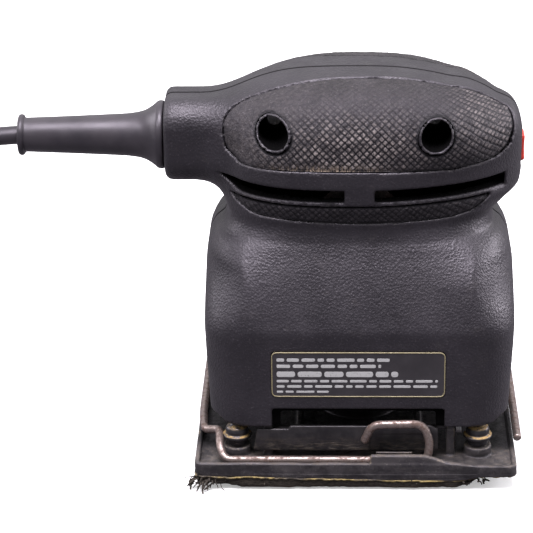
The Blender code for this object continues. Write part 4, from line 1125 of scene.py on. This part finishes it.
def platen_shape(x, y, z):
    """The cast platen with its tray, hub, ribs, foot bosses, lugs and bores."""
    wobble = 0.12 * np.sin(x * 0.31 + 1.0) * np.sin(x * 0.113) + 0.08 * np.sin(y * 0.37)
    outline = plan_distance(x, y, 0) + 0.25 * wobble
    tray = soft_max(outline, z - 8.1 + 0.9 * smooth_step(x, 28, 50) - wobble, 0.6)
    pocket = np.maximum(plan_distance(x, y, 1.8), 6.1 - z)
    solid = soft_max(tray, -pocket, 0.8)
    lower = np.where(plan_distance(x, y, 1.2) < 0, 4.8, lip_level(x))
    solid = soft_max(solid, lower - z, 0.4)
    centre = y - CENTRE_Y
    hub = soft_max(rod(x, centre, z, 15.0, 5, 16.4), z - 16.4, 0.8)
    ribs = block(np.abs(x), centre, z, (21, -34, 5), (23, 34, 8.0))
    bosses = at_feet(x, y, z, 5.0, 5, 9.6)
    far_x, far_y = 2 * MIDDLE_X - x, 2 * CENTRE_Y - y
    lugs = np.minimum(clamp_lugs(x, y, z), clamp_lugs(far_x, far_y, z))
    solid = soft_min(solid, nearest(hub, ribs, bosses, lugs), 0.7)
    bores = nearest(
        rod(x, centre, z, 11.3, 9.4, 30),
        rod(x, centre, z, 7.0, 0, 30),
        at_feet(x, y, z, 1.9, 0, 30),
        at_feet(x, y, z, 3.2, 0, 7.2),
        rod(y - AXLE_Y - 0.3, z - AXLE_Z, x, 2.3, 3, 22),
        rod(far_y - AXLE_Y - 0.3, z - AXLE_Z, far_x, 2.3, 3, 22),
        rod(y - HINGE_Y, z - HINGE_Z, np.abs(x), 1.3, 30, 36),
        rod(far_y - HINGE_Y, z - HINGE_Z, np.abs(far_x), 1.3, 30, 36),
    )
    return soft_max(solid, -bores, 0.3)


def pad_shape(x, y, z):
    """The foam and felt pad: its edge is torn, and the right-hand corner is missing."""
    points = np.stack(np.broadcast_arrays(x, y, z), axis=-1).reshape(-1, 3).astype(float)
    ragged = 0.45 * noise(points, 3.0, 21) + 0.3 * noise(points, 1.2, 22)
    ragged = ragged.reshape(np.broadcast(x, y, z).shape)
    side = np.where(z > lip_level(x), 1.5, 0.35)
    outline = plan_distance(x, y, 0) + side + 0.5 * ragged * smooth_step(-z, -3.4, -1.0)
    torn = (x - 42.5) * 0.75 - (y - PAD_LOW[1] - 12) * 0.66 - 3 + 1.6 * ragged
    low = -2.1 + 0.45 * ragged + 1.6 * smooth_step(-x, 38, 56) + 0.4 * smooth_step(np.abs(y), 48, 54)
    solid = soft_max(outline, low - z, 0.8)
    solid = soft_max(solid, z - 4.5, 0.4)
    return soft_max(solid, torn, 0.5)


# ---------------------------------------------------------------- feet, levers and flaps

WIRE_RADIUS = 1.5
FAR_EXTRA = 2.4                # the far arm stands further out, clear of the housing when it is lifted
AXLE_Y, AXLE_Z = LEVER_LOW[1] + 1.1, 7.9
HINGE_Y, HINGE_Z = -42.0, 16.6


def add_foot(number, material):
    """A rubber foot: post, broad flange, bead and a stem into the housing."""
    low, high = box_mm(f"rubber_foot_{number}")
    centre = ((low[0] + high[0]) / 2, (low[1] + high[1]) / 2, 0)
    corners = [
        (1.7, low[2], 0.2), (3.7, low[2], 0.5), (3.5, 12.0, 0.6), (5.2, 12.7, 0.4), (5.3, 13.7, 0.5),
        (4.1, 14.3, 0.4), (4.3, 15.4, 0.6), (3.9, 16.6, 0.8), (2.2, 17.8, 0.6), (2.1, 19.6, 0.5),
        (2.1, high[2], 0.5), (0.4, high[2], 0.2), (0.4, 19.0, 0.2), (1.7, 19.0, 0.3),
    ]
    points, faces = turned(profile_of(corners), centre, "Z", 48)
    name = f"foot_rubber_{number}"
    make_piece(name, points, faces, "platen", material, (f"rubber_foot_{number}",), "black_rubber", 50)


def lever_path(extra):
    """The wire from its tip, over the crank, along the axle and back along the side.
    The axle is longer by extra. Each corner is x, y, z and the radius of its bend."""
    arm_x = LEVER_LOW[0] + WIRE_RADIUS
    front = [
        (1.9, -47.9, 14.0, 2.5), (4.6, -48.6, 20.7, 3.4), (22.6, -48.8, 21.2, 4.2), (25.4, -50.0, 15.0, 4.0),
        (24.4, AXLE_Y, AXLE_Z, 3.0),
    ]
    side = [
        (-48.4, AXLE_Y, AXLE_Z, 4.2), (-50.3, -47.2, 11.2, 3.0), (-50.5, -41.0, 13.2, 3.0),
        (-51.2, -37.2, 12.9, 2.6), (-56.4, -34.6, 11.4, 2.8), (arm_x, -22.0, 11.2, 8.0),
        (arm_x, 38.0, 11.2, 1.0),
    ]
    return front + [(x - extra, y, z, radius) for x, y, z, radius in side]


def add_lever(word, far, material):
    path = evenly(round_corners(lever_path(FAR_EXTRA if far else 0), 3.0, 8), 0.5)
    points, faces = swept(path, WIRE_RADIUS, 20)
    points += 0.05 * noise(points, 1.4, 31)[:, None] * np.array((0.3, 1, 1))
    if far:
        points = half_turned(points)
    name = f"wire_lever_{word}"
    add_mesh(name, points, faces, f"lever_{word}", material, (f"clamp_lever_{word}",), "spring_wire", 60)


def flap_shape(x, y, z):
    """The clamp plate: a bent sheet with a step in its top, a fold at mid length, a shelf and two pins."""
    face, skin_depth = FLAP_LOW[1], 1.2
    fold = 0.45 * smooth_step(x, 3.3, 4.1)
    dent = 0.16 * np.sin(x * 0.21 + 0.6) * np.sin(z * 0.33)
    front = np.maximum(face + fold + dent - y, y - face - fold - dent - skin_depth)
    left = -36.8 - 0.17 * (17.7 - z)
    top = 17.7 + 1.2 * smooth_step(x, -25.6, -24.6) - 1.3 * smooth_step(x, 25.2, 28.4)
    outline = soft_max(soft_max(left - x, x - 28.4, 1.0), soft_max(z - top, 9.0 - z, 1.0), 0.9)
    sheet = soft_max(front, outline, 0.5)
    shelf = soft_max(block(x, y, z, (-30.6, face + 0.6, 16.0), (27.8, HINGE_Y + 0.6, 17.4)), z - 17.4, 0.4)
    pins = rod(y - HINGE_Y, z - HINGE_Z, x, 1.0, -34.0, -29.0)
    pins = np.minimum(pins, rod(y - HINGE_Y, z - HINGE_Z, x, 1.0, 26.0, FLAP_HIGH[0]))
    return soft_min(soft_min(sheet, shelf, 0.6), pins, 0.4)


def add_glue(material):
    """The uneven line of old glue between platen and pad, all the way round."""
    low, high = PLATEN_LOW, PLATEN_HIGH
    corners = [(low[0], low[1]), (high[0], low[1]), (high[0], high[1]), (low[0], high[1])]
    outline = round_corners(corners, 3.0, 8, closed=True)
    path = np.insert(np.concatenate([outline, outline[:1]]), 2, 0, axis=1)
    path = evenly(path, 0.6)
    middle = np.array([MIDDLE_X, CENTRE_Y, 0])
    path = middle + (path - middle) * 0.9975
    path[:, 2] = lip_level(path[:, 0]) - 0.15 + 0.22 * noise(path, 5.0, 41)
    points, faces = swept(path, 0.36, 12, dome=False)
    points += 0.18 * noise(points, 1.1, 42)[:, None]
    worn_off = smooth_step(points[:, 0], 26, 40) * smooth_step(-points[:, 1], 30, 50)
    points += worn_off[:, None] * np.array((0, 0.7, 0.25))
    add_mesh("pad_glue_line", points, faces, "platen", material, (), "foam_pad", 80)


def add_fibres(material):
    """Torn felt that hangs out of the pad's near edge, thickest at its left corner."""
    random = np.random.default_rng(7)
    (left, near, _), places = PAD_LOW, []
    # each group has a count, a stretch along the edge and a stretch inwards from it
    for count, along, inwards in (
        (60, (left - 0.5, left + 9), (-0.5, 2.0)),
        (36, (left + 8, 42), (-0.2, 0.6)),
        (22, (38, 46), (0, 3.0)),
    ):
        places += [(random.uniform(*along), near + random.uniform(*inwards)) for _ in range(count)]
    fibres = []
    for x, y in places:
        corner = x < left + 9
        length = random.uniform(2.0, 6.0) if corner else random.uniform(0.8, 2.2)
        lean = random.uniform(-1.0, 0.1) if corner else random.uniform(-0.6, 0.6)
        heading = np.array([lean, random.uniform(-0.9, 0), 0])
        path = [np.array([x, y + 0.8, random.uniform(0.2, 2.4 if corner else 1.2)])]
        for _ in range(6):
            heading += random.uniform(-0.45, 0.45, 3) * (1, 1, 0.8) - (0, 0, 0.1)
            path.append(path[-1] + heading / np.linalg.norm(heading) * length / 6)
        path = np.array(path)
        path[:, 2] = np.maximum(path[:, 2], -2.0)
        fibres.append(swept(path, random.uniform(0.12, 0.34), 6))
    add_mesh("pad_torn_fibres", *joined(fibres), "platen", material, (), "foam_pad", 80)


# ---------------------------------------------------------------- build

def finish_inner_nodes():
    """Gives every CAD node that stays visible a procedural material by its slot in the record."""
    paints = {
        "steel": metal("ground_steel", (0.42, 0.42, 0.43), (0.2, 0.18, 0.16), 0.34, (0.5, 0.5, 5.0)),
        "lamination": metal(
            "lamination_steel", (0.07, 0.07, 0.075), (0.04, 0.036, 0.033), 0.55, (4.0, 4.0, 0.5)
        ),
        # the copper is painted almost black: dust, and painted shade on the windings seen through the air
        # slots
        "copper": metal("copper_dust_and_painted_shade", (0.035, 0.02, 0.014), (0.02, 0.014, 0.01), 0.6, (0.6, 0.6, 3.0)),
        "brass": metal("dull_brass", (0.3, 0.21, 0.085), (0.12, 0.085, 0.04), 0.48, (2.0, 0.5, 0.5)),
        "carbon": plain_moulded("carbon", (0.02, 0.02, 0.021), (0.04, 0.04, 0.042), 0.6),
        "dark_plastic": plain_moulded("dark_plastic", (0.016, 0.016, 0.017), (0.03, 0.03, 0.031)),
        "white_insulation": plain_moulded("white_insulation", (0.6, 0.6, 0.57), (0.72, 0.72, 0.69)),
        "black_rubber": plain_moulded("wire_rubber", (0.012, 0.012, 0.013), (0.022, 0.022, 0.023), 0.5),
    }
    for part in frame["record"]["subparts"]:
        node, slot = frame["nodes"][part["node"]], part["material_slot"]
        if not node.hide_render and slot in paints:
            node.data.materials.clear()
            node.data.materials.append(paints[slot])


def build_housing():
    black = moulded_black("moulded_black")
    add_housing("housing_shell_near", -1, "housing_near", black)
    add_housing("housing_shell_far", 1, "housing_far", black)
    texture, band = grip_black("grip_texture"), grip_black("band_texture")
    for word, side in (("near", -1), ("far", 1)):
        add_patch(f"grip_oval_{word}", side, oval, (2, 80), (-40, -14), texture)
        add_patch(f"grip_crescent_{word}", side, crescent, (-30, -3), (-90, -80), band)
    ink = printed("plate_ink", (0.5, 0.5, 0.5), (0.14, 0.14, 0.14))
    border = printed("plate_border", (0.3, 0.26, 0.15), (0.06, 0.055, 0.045))
    add_nameplate(plate_black("plate_black"), ink, border)
    rubber = soft_rubber("sleeve_rubber")
    add_sleeve(rubber)
    add_cord(rubber)
    red = red_plastic("red_plastic")
    box = ROCKER_LOW, ROCKER_HIGH
    add_carved("rocker_cap", rocker_shape, *box, 0.3, "rocker", red, "switch_rocker", "red_rocker")


def build_platen():
    casting, felt = dusty_casting("dusty_casting"), worn_felt("worn_felt")
    cell = ((0.75, 0.7, 0.45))
    box = PLATEN_LOW - (0, 0, 5), PLATEN_HIGH
    add_carved("platen_casting", platen_shape, *box, cell, "platen", casting, "platen", "cast_platen")
    cell = ((0.9, 0.9, 0.6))
    box = PAD_LOW - (0, 0, 3.5), PAD_HIGH
    add_carved("pad_felt", pad_shape, *box, cell, "platen", felt, "pad", "foam_pad")
    add_glue(old_glue("old_glue"))
    add_fibres(felt)
    foot = foot_rubber("foot_rubber")
    for number in (1, 2, 3, 4):
        add_foot(number, foot)
    wire, black = rusty_wire("rusty_wire"), blacked_steel("blacked_steel")
    box, cell = (FLAP_LOW, FLAP_HIGH), (0.5, 0.3, 0.35)
    for word, far in (("near", False), ("far", True)):
        add_lever(word, far, wire)
        name, body, node = f"clamp_flap_{word}", f"flap_{word}", f"clamp_plate_{word}"
        add_carved(name, flap_shape, *box, cell, body, black, node, "black_steel", far)


# ---------------------------------------------------------------- stage, light and camera

FLOOR_Z, FLOOR_HALF = -0.0026, 8.0   # in metres: just under the lowest fibres, and far past the view
LAMP_TINT = (1.0, 0.955, 1.02)


def add_floor():
    """A white floor that reflects little light upwards."""
    paint = Paint("studio_floor")
    seen = paint.camera_ray()
    white = paint.mottled(600.0, (0.86, 0.86, 0.86), (0.9, 0.9, 0.9))
    paint.colour = paint.mixed(seen, (0.13, 0.125, 0.135), white)
    material = paint.done(0.9, specular=0.1)
    paint.put(paint.shader.inputs["Emission Color"], (1.0, 1.0, 1.0))
    paint.put(paint.shader.inputs["Emission Strength"], paint.times(seen, 0.35))
    mesh = bpy.data.meshes.new("floor")
    sides = ((-1, -1), (1, -1), (1, 1), (-1, 1))
    mesh.from_pydata([(x * FLOOR_HALF, y * FLOOR_HALF, FLOOR_Z) for x, y in sides], [], [(0, 1, 2, 3)])
    mesh.materials.append(material)
    floor = bpy.data.objects.new("floor", mesh)
    bpy.context.scene.collection.objects.link(floor)


def add_light(name, place, target, size, power):
    """A soft rectangular light that looks at a target. Places and sizes are in metres."""
    data = bpy.data.lights.new(name, "AREA")
    data.shape = "RECTANGLE"
    data.size, data.size_y = size
    data.energy = power
    data.color = LAMP_TINT
    light = bpy.data.objects.new(name, data)
    light.location = place
    light.rotation_euler = (Vector(target) - Vector(place)).to_track_quat("-Z", "Y").to_euler()
    bpy.context.scene.collection.objects.link(light)


def light_scene():
    """A white studio: strong soft light from above, little from the front, and a white backdrop."""
    world = bpy.data.worlds.new("studio")
    bpy.context.scene.world = world
    world.use_nodes = True
    sky = Nodes(world.node_tree)
    parts = sky.split(sky.node("TexCoord", {}).outputs["Generated"])
    above = sky.ranged(parts["Z"], 0.0, 0.8, 0.36, 0.9, "LINEAR")
    behind = sky.ranged(parts["Y"], -0.5, 0.6, 0.62, 1.5, "LINEAR")
    shade = sky.tree.nodes["Background"]
    sky.put(shade.inputs["Strength"], sky.larger(sky.times(above, behind), sky.camera_ray()))
    sky.put(shade.inputs["Color"], (1.0, 1.0, 1.0))
    target = (0, 0, 0.08)
    add_light("overhead", (0.0, -0.2, 0.85), target, (0.55, 0.4), 14.0)
    add_light("right_side", (0.85, 0.25, 0.4), target, (0.4, 0.5), 7.0)
    add_light("left_side", (-0.85, 0.25, 0.4), target, (0.4, 0.5), 3.5)
    add_light("left_key", (-0.5, -0.35, 0.75), (0, 0, 0.06), (0.25, 0.25), 2.5)


def add_camera():
    """The viewpoint: 23.5 degrees above the horizon, turned a little so the tool is right of centre."""
    data = bpy.data.cameras.new("camera")
    data.sensor_width = 36.0
    data.lens = 156.85
    camera = bpy.data.objects.new("camera", data)
    tilt, turn = math.radians(66.54), math.radians(2.04)
    place = Matrix.Translation((-0.0036, -0.7898, 0.4042))
    camera.matrix_world = place @ Matrix.Rotation(tilt, 4, "X") @ Matrix.Rotation(turn, 4, "Y")
    bpy.context.scene.collection.objects.link(camera)
    bpy.context.scene.camera = camera
    bpy.context.scene.view_settings.view_transform = "Standard"


build_housing()
build_platen()
finish_inner_nodes()
add_floor()
light_scene()
add_camera()
